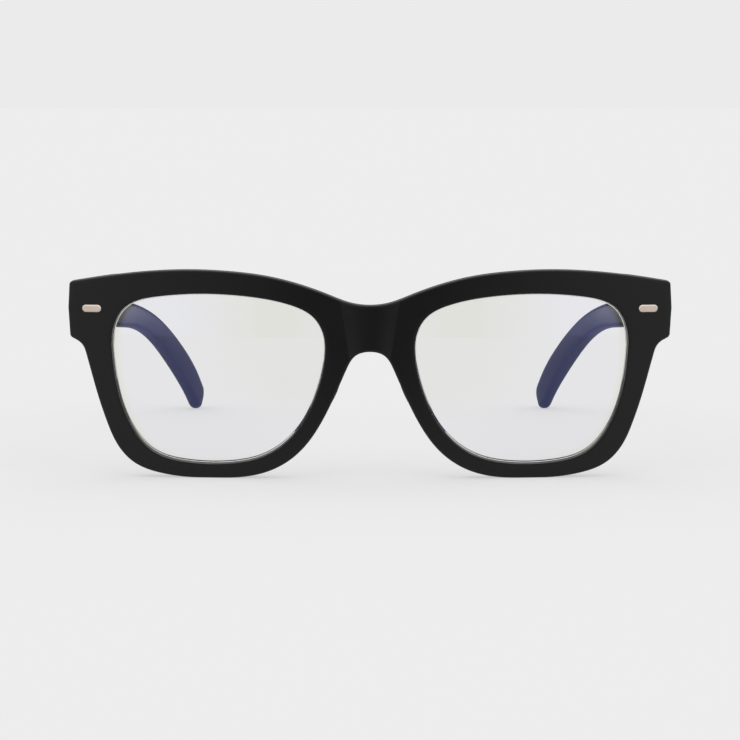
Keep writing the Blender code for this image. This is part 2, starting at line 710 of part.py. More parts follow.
def temple_arm(side, label, group, cutters, look):
    """A tapering arm that bends down behind the ear and ends in a round tip."""
    walked, points = temple_path()
    end = walked[-1]
    sections = []
    for place, shrink in temple_rows(end):
        here, tangent, sideways, upward, height, thickness = temple_frame(walked, points, place)
        corner = TEMPLE_CORNER + (TIP_CORNER - TEMPLE_CORNER) * smooth_step(0, end, place)
        section = []
        for across, up in rounded_section(thickness * math.sqrt(shrink), height * shrink, corner):
            point = here + sideways * across + upward * up
            if place == 0:
                point += tangent * (TEMPLE_START - point.y) / tangent.y
            section.append((side * point.x, point.y, max(point.z, 0)))
        sections.append(section)
    obj = loft(label + "_temple", sections, group, look)
    cut(obj, leaf_pocket(side, label, cutters))
    for number, (outer, inner) in enumerate(rivet_lines(side)):
        cut(obj, rivet_hole(f"{label}_temple_rivet_hole_{number}", outer, inner, cutters))
    channel = core_tube(
        side, label + "_temple_channel", CHANNEL_RADIUS, CUT_REACH, CHANNEL_PAST_END, cutters
    )
    cut(obj, channel)
    return obj


def leaf_pocket(side, label, cutters):
    """The shallow pocket that the leaf sits in, from the inner face of the temple."""
    inner = TEMPLE_INNER - PIVOT[0]
    start, stop = TEMPLE_LEAF_START - PIVOT[1] - FIT, TEMPLE_LEAF_END - PIVOT[1] + FIT
    deep = inner + LEAF_THICKNESS + FIT
    corners = [(inner - CUT_REACH, start), (deep, start), (deep, stop), (inner - CUT_REACH, stop)]
    reach = LEAF_HALF_HEIGHT + FIT
    sections = [[hinge_point(side, x, y, z) for x, y in corners] for z in (-reach, reach)]
    return loft(label + "_temple_pocket", sections, cutters)


def rivet_lines(side):
    """Outer and inner end of the line of each temple rivet, square to the temple's face."""
    outer = TEMPLE_OUTER - PIVOT[0] + RIVET_PROUD
    inner = TEMPLE_INNER - PIVOT[0] - RIVET_END_PROUD
    for y in TEMPLE_RIVETS:
        yield hinge_point(side, outer, y - PIVOT[1], 0), hinge_point(side, inner, y - PIVOT[1], 0)


def on_rivet_line(name, profile, outer, inner, group, look=None):
    turn = Vector((0, 0, -1)).rotation_difference(inner - outer).to_matrix()
    return turned(name, profile, outer, turn, 12, group, look)


def temple_rivet(name, outer, inner, group, look):
    """A rivet with a low round head at its outer end."""
    length = (inner - outer).length
    profile = [
        (0, 0), (RIVET_CROWN_RADIUS, 0), (RIVET_HEAD_RADIUS, -RIVET_RIM_DROP),
        (RIVET_HEAD_RADIUS, -RIVET_HEAD_HEIGHT), (PIN_RADIUS, -RIVET_HEAD_HEIGHT),
        (PIN_RADIUS, -length), (0, -length),
    ]
    return on_rivet_line(name, profile, outer, inner, group, look)


def rivet_hole(name, outer, inner, cutters):
    """The stepped hole that a rivet and its head sit in."""
    past = -(inner - outer).length - CUT_REACH
    head, shank = RIVET_HEAD_RADIUS + FIT, PIN_RADIUS + FIT
    floor = -RIVET_HEAD_HEIGHT - FIT
    profile = [(0, CUT_REACH), (head, CUT_REACH), (head, floor), (shank, floor), (shank, past), (0, past)]
    return on_rivet_line(name, profile, outer, inner, cutters)


def core_tube(side, name, radius, open_reach, past_end, group, look=None):
    """A round tube inside the temple: the core wire, or its channel, which is open at the butt."""
    walked, points = temple_path()
    route = []
    for place in np.linspace(WIRE_START, walked[-1] - WIRE_SHORT + past_end, WIRE_STATIONS):
        here, _, _, upward, _, _ = temple_frame(walked, points, place)
        route.append(here - upward * WIRE_DROP * (1 - smooth_step(*WIRE_RISE, place)))
    if open_reach:
        route.insert(0, route[0] + (route[0] - route[1]).normalized() * open_reach)
    line = bpy.data.curves.new(name, "CURVE")
    line.dimensions = "3D"
    line.bevel_depth = radius * MM
    line.bevel_resolution = 2
    line.use_fill_caps = True
    path = line.splines.new("POLY")
    path.points.add(len(route) - 1)
    for spot, point in zip(path.points, route):
        spot.co = (side * point.x * MM, point.y * MM, point.z * MM, 1)
    return curve_to_mesh(name, line, group, look)


def curve_to_mesh(name, line, group, look):
    """The closed mesh of a curve's tube."""
    source = bpy.data.objects.new(name + "_curve", line)
    group.objects.link(source)
    ready = source.evaluated_get(bpy.context.evaluated_depsgraph_get())
    mesh = bpy.data.meshes.new_from_object(ready)
    mesh.name = name
    shape = bmesh.new()
    shape.from_mesh(mesh)
    bmesh.ops.remove_doubles(shape, verts=shape.verts, dist=1e-6)
    bmesh.ops.recalc_face_normals(shape, faces=shape.faces)
    shape.to_mesh(mesh)
    shape.free()
    mesh.materials.clear()
    bpy.data.objects.remove(source)
    return add_object(name, mesh, group, look)


def nose_pad(side, label, group, look):
    """A low oval pad on the back of the rim, flat where it is bonded."""
    mesh = bpy.data.meshes.new(label + "_nose_pad")
    shape = bmesh.new()
    bmesh.ops.create_uvsphere(shape, u_segments=18, v_segments=10, radius=1)
    bmesh.ops.bisect_plane(
        shape, geom=shape.verts[:] + shape.edges[:] + shape.faces[:], plane_co=(0, 0, 0),
        plane_no=(0, -1, 0), clear_outer=True,
    )
    rim = [edge for edge in shape.edges if edge.is_boundary]
    bmesh.ops.contextual_create(shape, geom=rim)
    for v in shape.verts:
        v.co = Vector(v.co[i] * PAD_HALF[i] for i in range(3))
    x, z = PAD_PLACE
    slope = math.atan(x / BEND_RADIUS)
    place = Vector((side * x, bend(x) + FRONT_THICKNESS + FIT, z))
    lean = Matrix.Rotation(side * -PAD_LEAN, 4, "Y")
    shape.transform(Matrix.Rotation(side * slope, 4, "Z") @ lean)
    bmesh.ops.triangulate(shape, faces=[f for f in shape.faces if len(f.verts) > 4])
    bmesh.ops.recalc_face_normals(shape, faces=shape.faces)
    shape.transform(Matrix.Scale(MM, 4) @ Matrix.Translation(place))
    shape.to_mesh(mesh)
    shape.free()
    return add_object(label + "_nose_pad", mesh, group, look)


def hang(obj, empty):
    """Hangs a piece on an empty without moving it, so that its origin is the empty's."""
    world = obj.matrix_world.copy()
    obj.parent = empty
    obj.matrix_parent_inverse = empty.matrix_world.inverted()
    obj.matrix_world = world


def hinge_axis(side, label, group):
    """An empty on the hinge pin, turned with it, that carries all of one temple."""
    empty = bpy.data.objects.new(label + "_hinge_axis", None)
    empty.empty_display_size = 8 * MM
    group.objects.link(empty)
    empty.matrix_world = Matrix.Translation(hinge_point(side, 0, 0, 0) * MM) @ hinge_turn().to_4x4()
    return empty


def centre_depth():
    """Moves everything so that the origin is under the middle of the glasses."""
    for obj in bpy.data.objects:
        if not obj.parent:
            obj.matrix_world = Matrix.Translation((0, -MIDDLE_DEPTH * MM, 0)) @ obj.matrix_world


def build():
    clear_scene()
    parts = collection("blue_light_glasses")
    cutters = collection("cutters")
    plastic = material("matte_black_plastic", (0.018, 0.018, 0.019), 0.55)
    clear = material("clear_lens", (0.95, 0.97, 1.0), 0.02, transmission=1.0)
    silver = material("brushed_silver", (0.72, 0.68, 0.63), 0.35, metallic=1.0)
    steel = material("hinge_steel", (0.6, 0.6, 0.6), 0.3, metallic=1.0)

    frame = front_frame(parts, plastic)
    for side, label in SIDES:
        lens(side, label, parts, clear)
        nose_pad(side, label, parts, plastic)
        front_plaque(side, label, parts, cutters, silver)
        front_leaf(side, label, parts, cutters, steel)
        hinge_screw(side, label, parts, cutters, steel)
        seat_front_hinge(frame, side, label, cutters)
        axis = hinge_axis(side, label, parts)
        moving = [
            temple_arm(side, label, parts, cutters, plastic),
            temple_leaf(side, label, parts, cutters, steel),
            core_tube(side, label + "_core_wire", WIRE_RADIUS, 0, 0, parts, steel),
        ]
        for number, (outer, inner) in enumerate(rivet_lines(side), 1):
            moving.append(temple_rivet(f"{label}_temple_rivet_{number}", outer, inner, parts, silver))
        bpy.context.view_layer.update()
        for piece in moving:
            hang(piece, axis)
    centre_depth()


build()
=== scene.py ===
"""Looks of the blue light glasses: finely rounded pieces, materials, a plain studio and the camera.

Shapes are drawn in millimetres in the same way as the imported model, with X to the wearer's left, Y to
the temple tips and Z up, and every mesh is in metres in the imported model's frame.
"""

import json
import math

import bmesh
import bpy
import numpy as np
from mathutils import Matrix, Vector


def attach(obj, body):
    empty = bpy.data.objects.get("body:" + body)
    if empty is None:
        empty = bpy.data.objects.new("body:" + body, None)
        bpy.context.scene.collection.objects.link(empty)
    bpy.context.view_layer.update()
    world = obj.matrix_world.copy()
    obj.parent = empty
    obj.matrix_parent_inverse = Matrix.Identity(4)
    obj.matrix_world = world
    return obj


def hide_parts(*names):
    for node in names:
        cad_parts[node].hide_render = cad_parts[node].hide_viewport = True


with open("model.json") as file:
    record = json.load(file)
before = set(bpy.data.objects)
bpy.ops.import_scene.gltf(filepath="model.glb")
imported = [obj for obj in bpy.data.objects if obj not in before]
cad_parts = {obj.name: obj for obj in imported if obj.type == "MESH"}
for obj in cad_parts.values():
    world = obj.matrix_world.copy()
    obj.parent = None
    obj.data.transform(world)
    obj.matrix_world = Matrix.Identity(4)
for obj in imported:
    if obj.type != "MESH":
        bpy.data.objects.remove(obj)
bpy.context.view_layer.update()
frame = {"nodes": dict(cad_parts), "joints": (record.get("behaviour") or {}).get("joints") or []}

MM = 0.001
SIDES = ((1, "left"), (-1, "right"))
HINGE = {joint["child"]: joint for joint in frame["joints"]}
SHARP_ANGLE = math.radians(38)  # edges that turn more than this stay sharp
BREAK_ANGLE = math.radians(40)  # edges of the hinge leaves that turn more than this are bevelled
FLAT_ANGLE = math.radians(1)  # faces of the hinge leaves that turn less than this are one face
SAME_POINT = 1e-6  # metres between points that are one point
MIDDLE_SEAM = 1e-5  # the same, where the front's two halves meet

# Front
BEND_RADIUS = 420.0  # the whole front is bent round the face on this radius
FRONT_THICKNESS = 4.4
OUTER_ROUND = 0.55  # rounding of the front's outer edges
INNER_ROUND = 0.2  # rounding of the edges round each lens
FLARE = 0.22  # the wall round each lens opens this much towards the face
BACK_LIP = 0.22  # the lip behind each lens reaches this much further in than the groove's front edge
BACK_LIP_DEPTH = 0.86  # from the lens's middle surface
BUTT_Y = 10.4  # flat back of the end pieces, where the temples butt
BLOCK_X = (59.5, 62.0)  # the front thickens to that flat between these distances from the middle
BLOCK_Z = (30.5, 33.0)  # and between these heights
BRIDGE_TOP = 41.1
BRIDGE_BOTTOM = 30.1
SCOOP_DEPTH = 0.65  # shallow hollow down the face of the bridge
SCOOP_HALF_TOP = 6.9
SCOOP_HALF_BOTTOM = 5.1
SCOOP_REACH = 4.0  # the hollow fades out this far under the bridge
CREASE_HALF = 0.06  # half the width of the softened crease beside the hollow
CREASE_MISSED = 0.6  # where a line that passes the crease by keeps its two crease points
FOOT_INNER = 35.5  # each rim stands on a flat between these two distances from the middle
FOOT_OUTER = 40.5
TOP_EDGE = [
    (0, BRIDGE_TOP), (4.7, 41.7), (9.6, 43.5), (16.6, 46.0), (24, 47.85), (33, 49.0),
    (43, 49.4), (55, 48.75), (64.5, 47.55), (71.4, 46.45),
]
END_SIDE_MIDDLE = (71.75, 40.3)
END_BOTTOM_CORNER = (71.35, 33.35)
STEP_CORNER = (68.3, 31.75)
END_TOP_ROUND = 0.9
END_BOTTOM_ROUND = 1.1
STEP_ROUND = 4.0
TOP_GAP = 0.2  # the top edge's last point stays this far from the rounded corner
OUTER_RIM = [
    (67.55, 29.3), (66.5, 25.4), (64.9, 19.6), (62.7, 13.0), (60.1, 7.4), (56.2, 3.35), (50, 1.0),
    (FOOT_OUTER, 0),
]
NASAL_EDGE = [
    (FOOT_INNER, 0), (28.4, 0.5), (22.5, 2.3), (16.6, 6.4), (11.7, 13.0), (8.2, 20.0), (5.6, 25.9),
    (3.4, 29.2), (0, BRIDGE_BOTTOM),
]
APERTURE = [
    (10.85, 29.2), (10.95, 33.2), (13.2, 37.9), (19, 41.1), (28, 42.95), (39, 43.65), (50, 42.95),
    (58.3, 40.0), (60.9, 34.6), (61.0, 29.2), (59.9, 21.0), (56.9, 12.6), (51.3, 6.2), (43, 3.85),
    (34, 3.65), (25, 5.6), (17.6, 11.3), (12.6, 21.0),
]
TOP_POINTS = 140  # points along each stretch of the front's outline
RIM_POINTS = 90
NASAL_POINTS = 120
CORNER_STEPS = 8
FILLET_STEPS = 10
OUTLINE_PITCH = 0.6  # longest straight piece of the outline
INNER_STEPS = 3  # rings round the small edges, the outer edges, and each side of the crease
OUTER_STEPS = 4
FACE_INNER_STEPS = 6
FACE_OUTER_STEPS = 4

# Lenses
LENS_CENTRE = (36.0, 24.0)
LENS_RADIUS = 200.0  # extra curve of the lens on top of the front's own bend
LENS_THICKNESS = 1.8
LENS_SET_BACK = 0.5  # from the front's face to the lens's, at the lens's centre
GROOVE_DEPTH = 0.75
GROOVE_HALF_WIDTH = 0.7
LENS_CLEARANCE = 0.06
LENS_LIP = 0.15  # the polished faces of the lens end this far inside the rim, in a small facet
LENS_POINTS = 240
LENS_SHARES = (0.004, *np.linspace(0.1, 1, 13))  # rings of its faces, from the middle to the lip

# Hinges
TILT = math.radians(6.0)
PIVOT = (65.4, 12.35, 40.4)
SCREW_RADIUS = 0.6
SCREW_HEAD_RADIUS = 1.2
SCREW_HEAD_HEIGHT = 0.55
SCREW_HALF_LENGTH = 3.6
SCREW_CENTRE = 0.05  # radii of the crown's two rings, as shares of the head's
SCREW_CROWN_RADIUS = 0.5
SCREW_CROWN_DROP = 0.02
SCREW_DOME = (0.35, 0.25)  # width and depth of the rounding round the head
SCREW_DOME_DROP = 0.08  # how far under the crown that rounding starts
SCREW_STEPS = 4
SCREW_RIM = 0.35  # depth from the crown to where the head's side is straight
SCREW_BREAK = 0.1  # chamfer at the screw's foot
SLOT_HALF_WIDTH = 0.15
SLOT_DEPTH = 0.3
ROUND_SIDES = 32  # sides of the screws and rivets
PIN_SIDES = 24
LEAF_THICKNESS = 1.1
LEAF_HALF_HEIGHT = 4.0
FRONT_LEAF_INNER = 62.7
FRONT_LEAF_OUTER = 68.5
TEMPLE_LEAF_START = 11.4
TEMPLE_LEAF_END = 21.4
LEAF_BREAK = 0.1  # bevel on the leaves' edges
FIT = 0.05  # gap between pieces that fit together
PAST = 1.0  # how far a cutter reaches past the surface that it opens
POCKET_PAST = 3.0  # the same for the temples' pockets, whose inner faces lean

# Rivets
PLAQUE_PLACE = (66.0, 40.15)
PLAQUE_LENGTH = 4.6
PLAQUE_HEIGHT = 1.7
PLAQUE_THICKNESS = 0.5
PLAQUE_BEVEL = 0.26  # width of the facet round the plaque
PLAQUE_BEVEL_DEPTH = 0.22
PLAQUE_CROWN = 0.9  # how far in its top's last ring lies, as a share of half its height
PILL_STEPS = 16
PIN_SPACING = 2.6
PIN_RADIUS = 0.45
PIN_END = (0.35, 0.25, 0.15)  # length left to the pin's end, and length and width of its rounding
PIN_STEPS = 2
PIN_FLAT = 0.4  # share of the pin's radius that its flat end keeps
PIN_SHORT = 0.08  # the pins end this far inside the leaves' flat
TEMPLE_RIVETS = (15.6, 19.4)
RIVET_HEAD_RADIUS = 0.95
RIVET_HEAD_HEIGHT = 0.4
RIVET_DOME = 0.5  # share of the head's height that is domed
RIVET_SIDE = 0.7  # share of the height where the side is straight
RIVET_STEPS = 5
RIVET_BREAK = 0.08  # chamfer at their ends
RIVET_RAISED = 0.1  # how far the heads stand out of the temple
RIVET_PAST = 0.02  # how far their ends stand out of the temple's inner face
RIVET_HOLE = 8.0  # length of the holes' cutters

# Temples
TEMPLE_START = BUTT_Y + 0.1
TEMPLE_LINE = [
    (69.3, TEMPLE_START, 40.75), (69.0, 30, 38.6), (67.8, 58, 35.4), (65.8, 84, 32.1), (63.3, 103, 29.2),
    (60.2, 115, 25.0), (56.0, 126, 17.5), (52.0, 136, 8.35), (50.0, 143.6, 1.25),
]
TEMPLE_HEIGHT = [11.3, 10.3, 8.6, 7.0, 6.7, 7.2, 7.9, 8.1, 8.0]
TEMPLE_THICKNESS = [4.1, 4.0, 3.7, 3.4, 3.3, 3.3, 3.3, 3.3, 3.3]
TEMPLE_CORNER = 1.1  # rounding of the temple's long edges, at the hinge and at the tip
TIP_CORNER = 1.6
MOST_CORNER = 0.48  # a corner's radius is at most this share of the section's width or height
TEMPLE_INNER = TEMPLE_LINE[0][0] - TEMPLE_THICKNESS[0] / 2
TEMPLE_OUTER = TEMPLE_LINE[0][0] + TEMPLE_THICKNESS[0] / 2
BUTT_ROUND = 0.35
BUTT_SQUARE = 3.0  # the sections this near the butt are square to the glasses, not to the temple
TIP_ROUND = 4.1
TEMPLE_SAMPLES = 400
TEMPLE_STATIONS = 130
TIP_STEPS = 14
SECTION_STEPS = 5
TANGENT_REACH = 0.5  # the temple's direction is measured this far to either side

# Nose pads
PAD_PLACE = (10.1, 20.3)
PAD_HALF = (2.1, 4.0, 7.0)  # half width, how far it stands out behind the rim, half length
PAD_LEAN = math.radians(25)
PAD_RINGS = 14
PAD_POINTS = 48
PAD_TOP = math.pi / 2 * 0.99  # the pad's last ring, on the quarter turn from its foot to its top

# Studio
BACKDROP = 0.831  # how bright the pale background is, as a linear value
TABLE_GLOW = 0.52  # how much of the table's brightness comes from below
TABLE_ALBEDO = 0.29
# The table's dark gap ahead and dark band behind are painted dark reflections, seen only by mirror rays.
PAINTED_REFLECTION_AHEAD = (0.12, 0.22)  # metres ahead of the middle over which the table's painted dark reflection fades in
PAINTED_REFLECTION_BAND_START = (0.03, 0.07)  # metres behind the middle over which its painted dark band, seen only in reflections, starts
PAINTED_REFLECTION_BAND_END = (0.15, 0.5)  # metres over which that painted band ends again
PAINTED_REFLECTION_BAND_DARK = 0.8
TABLE_DROP = 0.00002  # metres between the glasses and the table
FLOOR_RADIUS = 30.0  # metres
GAP_AHEAD = (-0.2, 0.0)  # Y of the direction over which the dark gap ahead ends
GAP_BEHIND = (0.5, 0.8)  # Y of the direction over which the dark strip behind starts
GAP_HALF = (3.0, 23.0)  # degrees from straight ahead between which the dark gap fades out
GAP_TOP = (35.0, 60.0)  # degrees above the horizon over which it fades out again
BACK_GAP_TOP = (9.0, 20.0)  # the same, for the dark strip behind the glasses
GAP_LIGHT = 0.05  # brightness of the gap and of the table's painted dark reflection, of the light all round and of the light from above
SIDE_LIGHT = 1.1
TOP_LIGHT = 1.35

# Camera
CAMERA_ELEVATION = math.radians(6.2)
CAMERA_DISTANCE = 0.6  # metres
CAMERA_AIM = 0.0243  # height in metres of the point that it looks at
CAMERA_LENS = 123.7
CAMERA_SHIFT = 0.0095

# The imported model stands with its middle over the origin; the drawing's depths start at the face.
DEPTH_SHIFT = HINGE["left_arm"]["pos_m"][1] / MM - PIVOT[1]


# ---------------------------------------------------------------- curves

def spline(points, closed=False, start=None, end=None):
    """Knots, and a function of them, for the smooth cubic through the points."""
    through = np.array(points, float)
    if closed:
        through = np.vstack([through, through[:1]])
    step = np.linalg.norm(np.diff(through, axis=0), axis=1)
    knots = np.concatenate([[0], np.cumsum(step)])
    rise = np.diff(through, axis=0) / step[:, None]
    count = len(through)
    system = np.zeros((count, count))
    wanted = np.zeros_like(through)
    for i in range(1, count - 1):
        system[i, i - 1 : i + 2] = step[i], 2 * (step[i - 1] + step[i]), step[i - 1]
        wanted[i] = 3 * (step[i] * rise[i - 1] + step[i - 1] * rise[i])
    if closed:
        system[0, 0], system[0, -1] = 1, -1
        system[-1, -2], system[-1, -1], system[-1, 1] = step[0], 2 * (step[-1] + step[0]), step[-1]
        wanted[-1] = 3 * (step[0] * rise[-1] + step[-1] * rise[0])
    else:
        system[0, :2] = (1, 0) if start is not None else (2, 1)
        wanted[0] = start if start is not None else 3 * rise[0]
        system[-1, -2:] = (0, 1) if end is not None else (1, 2)
        wanted[-1] = end if end is not None else 3 * rise[-1]
    slopes = np.linalg.solve(system, wanted)

    def at(places):
        places = np.atleast_1d(places)
        i = np.clip(np.searchsorted(knots, places, side="right") - 1, 0, count - 2)
        h = step[i][:, None]
        u = (places - knots[i])[:, None] / h
        return (
            (1 + 2 * u) * (1 - u) ** 2 * through[i]
            + u * (1 - u) ** 2 * h * slopes[i]
            + u**2 * (3 - 2 * u) * through[i + 1]
            + u**2 * (u - 1) * h * slopes[i + 1]
        )

    return knots, at


def along(points, count, **ends):
    """The first count of count + 1 evenly spread points on the curve through the points."""
    knots, at = spline(points, **ends)
    return at(np.linspace(0, knots[-1], count + 1)[:-1])


def fillet(before, corner, after, radius, steps):
    """Points of the arc that rounds a corner."""
    corner = np.array(corner, float)
    towards = [np.array(p, float) - corner for p in (before, after)]
    towards = [v / np.linalg.norm(v) for v in towards]
    half = math.acos(np.clip(np.dot(*towards), -1, 1)) / 2
    middle = towards[0] + towards[1]
    centre = corner + middle / np.linalg.norm(middle) * radius / math.sin(half)
    arms = [corner + v * radius / math.tan(half) - centre for v in towards]
    turn = math.pi - 2 * half
    shares = [
        (math.sin(turn * (1 - k / steps)) / math.sin(turn), math.sin(turn * k / steps) / math.sin(turn))
        for k in range(steps + 1)
    ]
    return np.array([centre + first * arms[0] + last * arms[1] for first, last in shares])


def normals(points):
    """Unit normals in the plane of a closed outline, pointing out of it."""
    tangent = np.roll(points, -1, axis=0) - np.roll(points, 1, axis=0)
    tangent /= np.linalg.norm(tangent, axis=1)[:, None]
    turned = np.column_stack([-tangent[:, 1], tangent[:, 0]])
    area = np.sum(points[:, 0] * np.roll(points[:, 1], -1) - np.roll(points[:, 0], -1) * points[:, 1])
    return -turned if area > 0 else turned


def smooth_step(low, high, value):
    """From 0 to 1, with no kink, as the value goes from low to high."""
    u = min(max((value - low) / (high - low), 0), 1)
    return u * u * (3 - 2 * u)


def quarter(steps):
    """Sine and cosine at even steps inside a quarter turn."""
    return [(math.sin(a), math.cos(a)) for a in np.linspace(0, math.pi / 2, steps + 2)[1:-1]]


# ---------------------------------------------------------------- pieces

def mesh_from(name, vertices, faces):
    """A mesh in metres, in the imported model's frame, from points in millimetres."""
    mesh = bpy.data.meshes.new(name)
    mesh.from_pydata([Vector((x, y + DEPTH_SHIFT, z)) * MM for x, y, z in vertices], [], faces)
    shape = bmesh.new()
    shape.from_mesh(mesh)
    bmesh.ops.remove_doubles(shape, verts=shape.verts, dist=SAME_POINT)
    bmesh.ops.dissolve_degenerate(shape, edges=shape.edges, dist=SAME_POINT / 10)
    loose = [v for v in shape.verts if not v.link_faces]
    bmesh.ops.delete(shape, geom=loose, context="VERTS")
    bmesh.ops.recalc_face_normals(shape, faces=shape.faces)
    if shape.calc_volume(signed=True) < 0:
        bmesh.ops.reverse_faces(shape, faces=shape.faces)
    shape.to_mesh(mesh)
    shape.free()
    return mesh


def skin(name, rings):
    """A mesh through a row of rings of points, with its two ends closed."""
    size = len(rings[0])
    vertices = [point for ring in rings for point in ring]
    faces = [tuple(range(size)), tuple(range(len(vertices) - size, len(vertices)))]
    for r in range(len(rings) - 1):
        for k in range(size):
            n = (k + 1) % size
            faces.append((r * size + k, r * size + n, (r + 1) * size + n, (r + 1) * size + k))
    return mesh_from(name, vertices, faces)


def turned(name, profile, place, turn, sides):
    """A turned piece from its profile as (radius, height) pairs, laid out by a turn and a place."""
    angles = [2 * math.pi * k / sides for k in range(sides)]
    rings = [
        [place + turn @ Vector((radius * math.cos(a), radius * math.sin(a), height)) for a in angles]
        for radius, height in profile
    ]
    return skin(name, rings)


def add(name, mesh):
    """An object of the mesh, in the scene."""
    obj = bpy.data.objects.new(name, mesh)
    bpy.context.scene.collection.objects.link(obj)
    return obj


def applied(obj):
    """The object with its modifiers applied, and its shading smooth except over sharp edges."""
    bpy.context.view_layer.update()
    ready = obj.evaluated_get(bpy.context.evaluated_depsgraph_get())
    mesh = bpy.data.meshes.new_from_object(ready)
    obj.modifiers.clear()
    obj.data = mesh
    mesh.shade_smooth()
    mesh.set_sharp_from_angle(angle=SHARP_ANGLE)
    return obj


def combine(obj, others, operation):
    """Joins the shape of each other object to the object, or cuts it out, and removes the others."""
    for other in others:
        boolean = obj.modifiers.new(other.name, "BOOLEAN")
        boolean.operation = operation
        boolean.solver = "EXACT"
        boolean.object = other
    applied(obj)
    for other in others:
        bpy.data.objects.remove(other)
    return obj


def dress(obj, body, node, look):
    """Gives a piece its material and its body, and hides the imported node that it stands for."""
    obj.data.materials.clear()
    obj.data.materials.append(look)
    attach(obj, body)
    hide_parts(node)


# ---------------------------------------------------------------- front

def bend(x):
    """How far back the front's bend brings a point at a distance from the middle."""
    return x * x / (2 * BEND_RADIUS)


def scoop_half(z):
    """Half the width of the hollow of the bridge at a height."""
    share = (z - BRIDGE_BOTTOM) / (BRIDGE_TOP - BRIDGE_BOTTOM)
    return SCOOP_HALF_BOTTOM + (SCOOP_HALF_TOP - SCOOP_HALF_BOTTOM) * share


def front_face(x, z):
    """Depth of the front's face: the bend, and the hollow between the two creases of the bridge."""
    hollow = max(0, 1 - (x / scoop_half(z)) ** 2) * SCOOP_DEPTH if z > BRIDGE_BOTTOM - SCOOP_REACH else 0
    return bend(x) + hollow


def back_face(x, z):
    """Depth of the front's back: the bend, thickened to a flat behind the end pieces."""
    block = smooth_step(*BLOCK_X, x) * smooth_step(*BLOCK_Z, z)
    plain = bend(x) + FRONT_THICKNESS
    return plain + (BUTT_Y - plain) * block


def lens_middle(x, z):
    """Depth of the surface in the middle of the lens's thickness."""
    reach = (x - LENS_CENTRE[0]) ** 2 + (z - LENS_CENTRE[1]) ** 2
    return bend(x) + LENS_SET_BACK + reach / (2 * LENS_RADIUS) + LENS_THICKNESS / 2


def spaced(points, following):
    """The points, with even ones between any two that are more than the outline's pitch apart."""
    chain = np.vstack([np.array(points, float), following])
    found = []
    for start, end in zip(chain[:-1], chain[1:]):
        count = max(1, math.ceil(np.linalg.norm(end - start) / OUTLINE_PITCH))
        found.extend(start + (end - start) * k / count for k in range(count))
    return found


def front_sections():
    """The half outline in sections, each with the two counts of aperture points that it lies between."""
    top = along(TOP_EDGE, TOP_POINTS, start=(1, 0))
    top_corner = fillet(TOP_EDGE[-2], TOP_EDGE[-1], END_SIDE_MIDDLE, END_TOP_ROUND, CORNER_STEPS)
    top = top[top[:, 0] < top_corner[0][0] - TOP_GAP]
    side, corner, step_corner, rim = END_SIDE_MIDDLE, END_BOTTOM_CORNER, STEP_CORNER, OUTER_RIM[0]
    bottom_corner = fillet(side, corner, step_corner, END_BOTTOM_ROUND, CORNER_STEPS)
    step = fillet(corner, step_corner, rim, STEP_ROUND, FILLET_STEPS)
    return [
        ([(0, BRIDGE_BOTTOM)], 0.5, 1.5),
        (top, 1.5, 7),
        (top_corner, 7, 8),
        (np.vstack([[side], bottom_corner, step]), 8, 9),
        (np.vstack([along(OUTER_RIM, RIM_POINTS, end=(-1, 0)), [(FOOT_OUTER, 0)]]), 9, 14),
        (along(NASAL_EDGE, NASAL_POINTS, start=(-1, 0), end=(-1, 0)), 14, 18.5),
    ]


def stations():
    """Matching points of the half outline and the lens aperture, and which lie on the middle plane."""
    knots, at = spline(APERTURE, closed=True)
    counted = np.arange(2 * len(APERTURE) + 1)
    places = np.concatenate([knots, knots[1:] + knots[-1]])
    outer, inner, middle = [], [], []
    sections = front_sections()
    for number, (points, first, last) in enumerate(sections):
        following = np.array(sections[(number + 1) % len(sections)][0][0], float)
        points = np.array(spaced(points, following))
        spans = np.linalg.norm(np.diff(np.vstack([points, following]), axis=0), axis=1)
        share = np.concatenate([[0], np.cumsum(spans)[:-1]]) / spans.sum()
        outer.extend(points)
        low, high = np.interp((first, last), counted, places)
        inner.extend(at((low + share * (high - low)) % knots[-1]))
        middle.extend([number == 0] * len(points))
    middle[0] = False
    return np.array(outer), np.array(inner), np.array(middle)


def crease_shares(rim, edge):
    """How far along each line from the rim to the edge the crease of the bridge is crossed."""
    slope = (SCOOP_HALF_TOP - SCOOP_HALF_BOTTOM) / (BRIDGE_TOP - BRIDGE_BOTTOM)
    shares = []
    for (x, z), (edge_x, edge_z) in zip(rim, edge):
        closing = (edge_x - x) - slope * (edge_z - z)
        share = (scoop_half(z) - x) / closing if closing < 0 else math.inf
        shares.append(share if share < 1 else max(CREASE_MISSED, 2 - share))
    return np.array(shares)


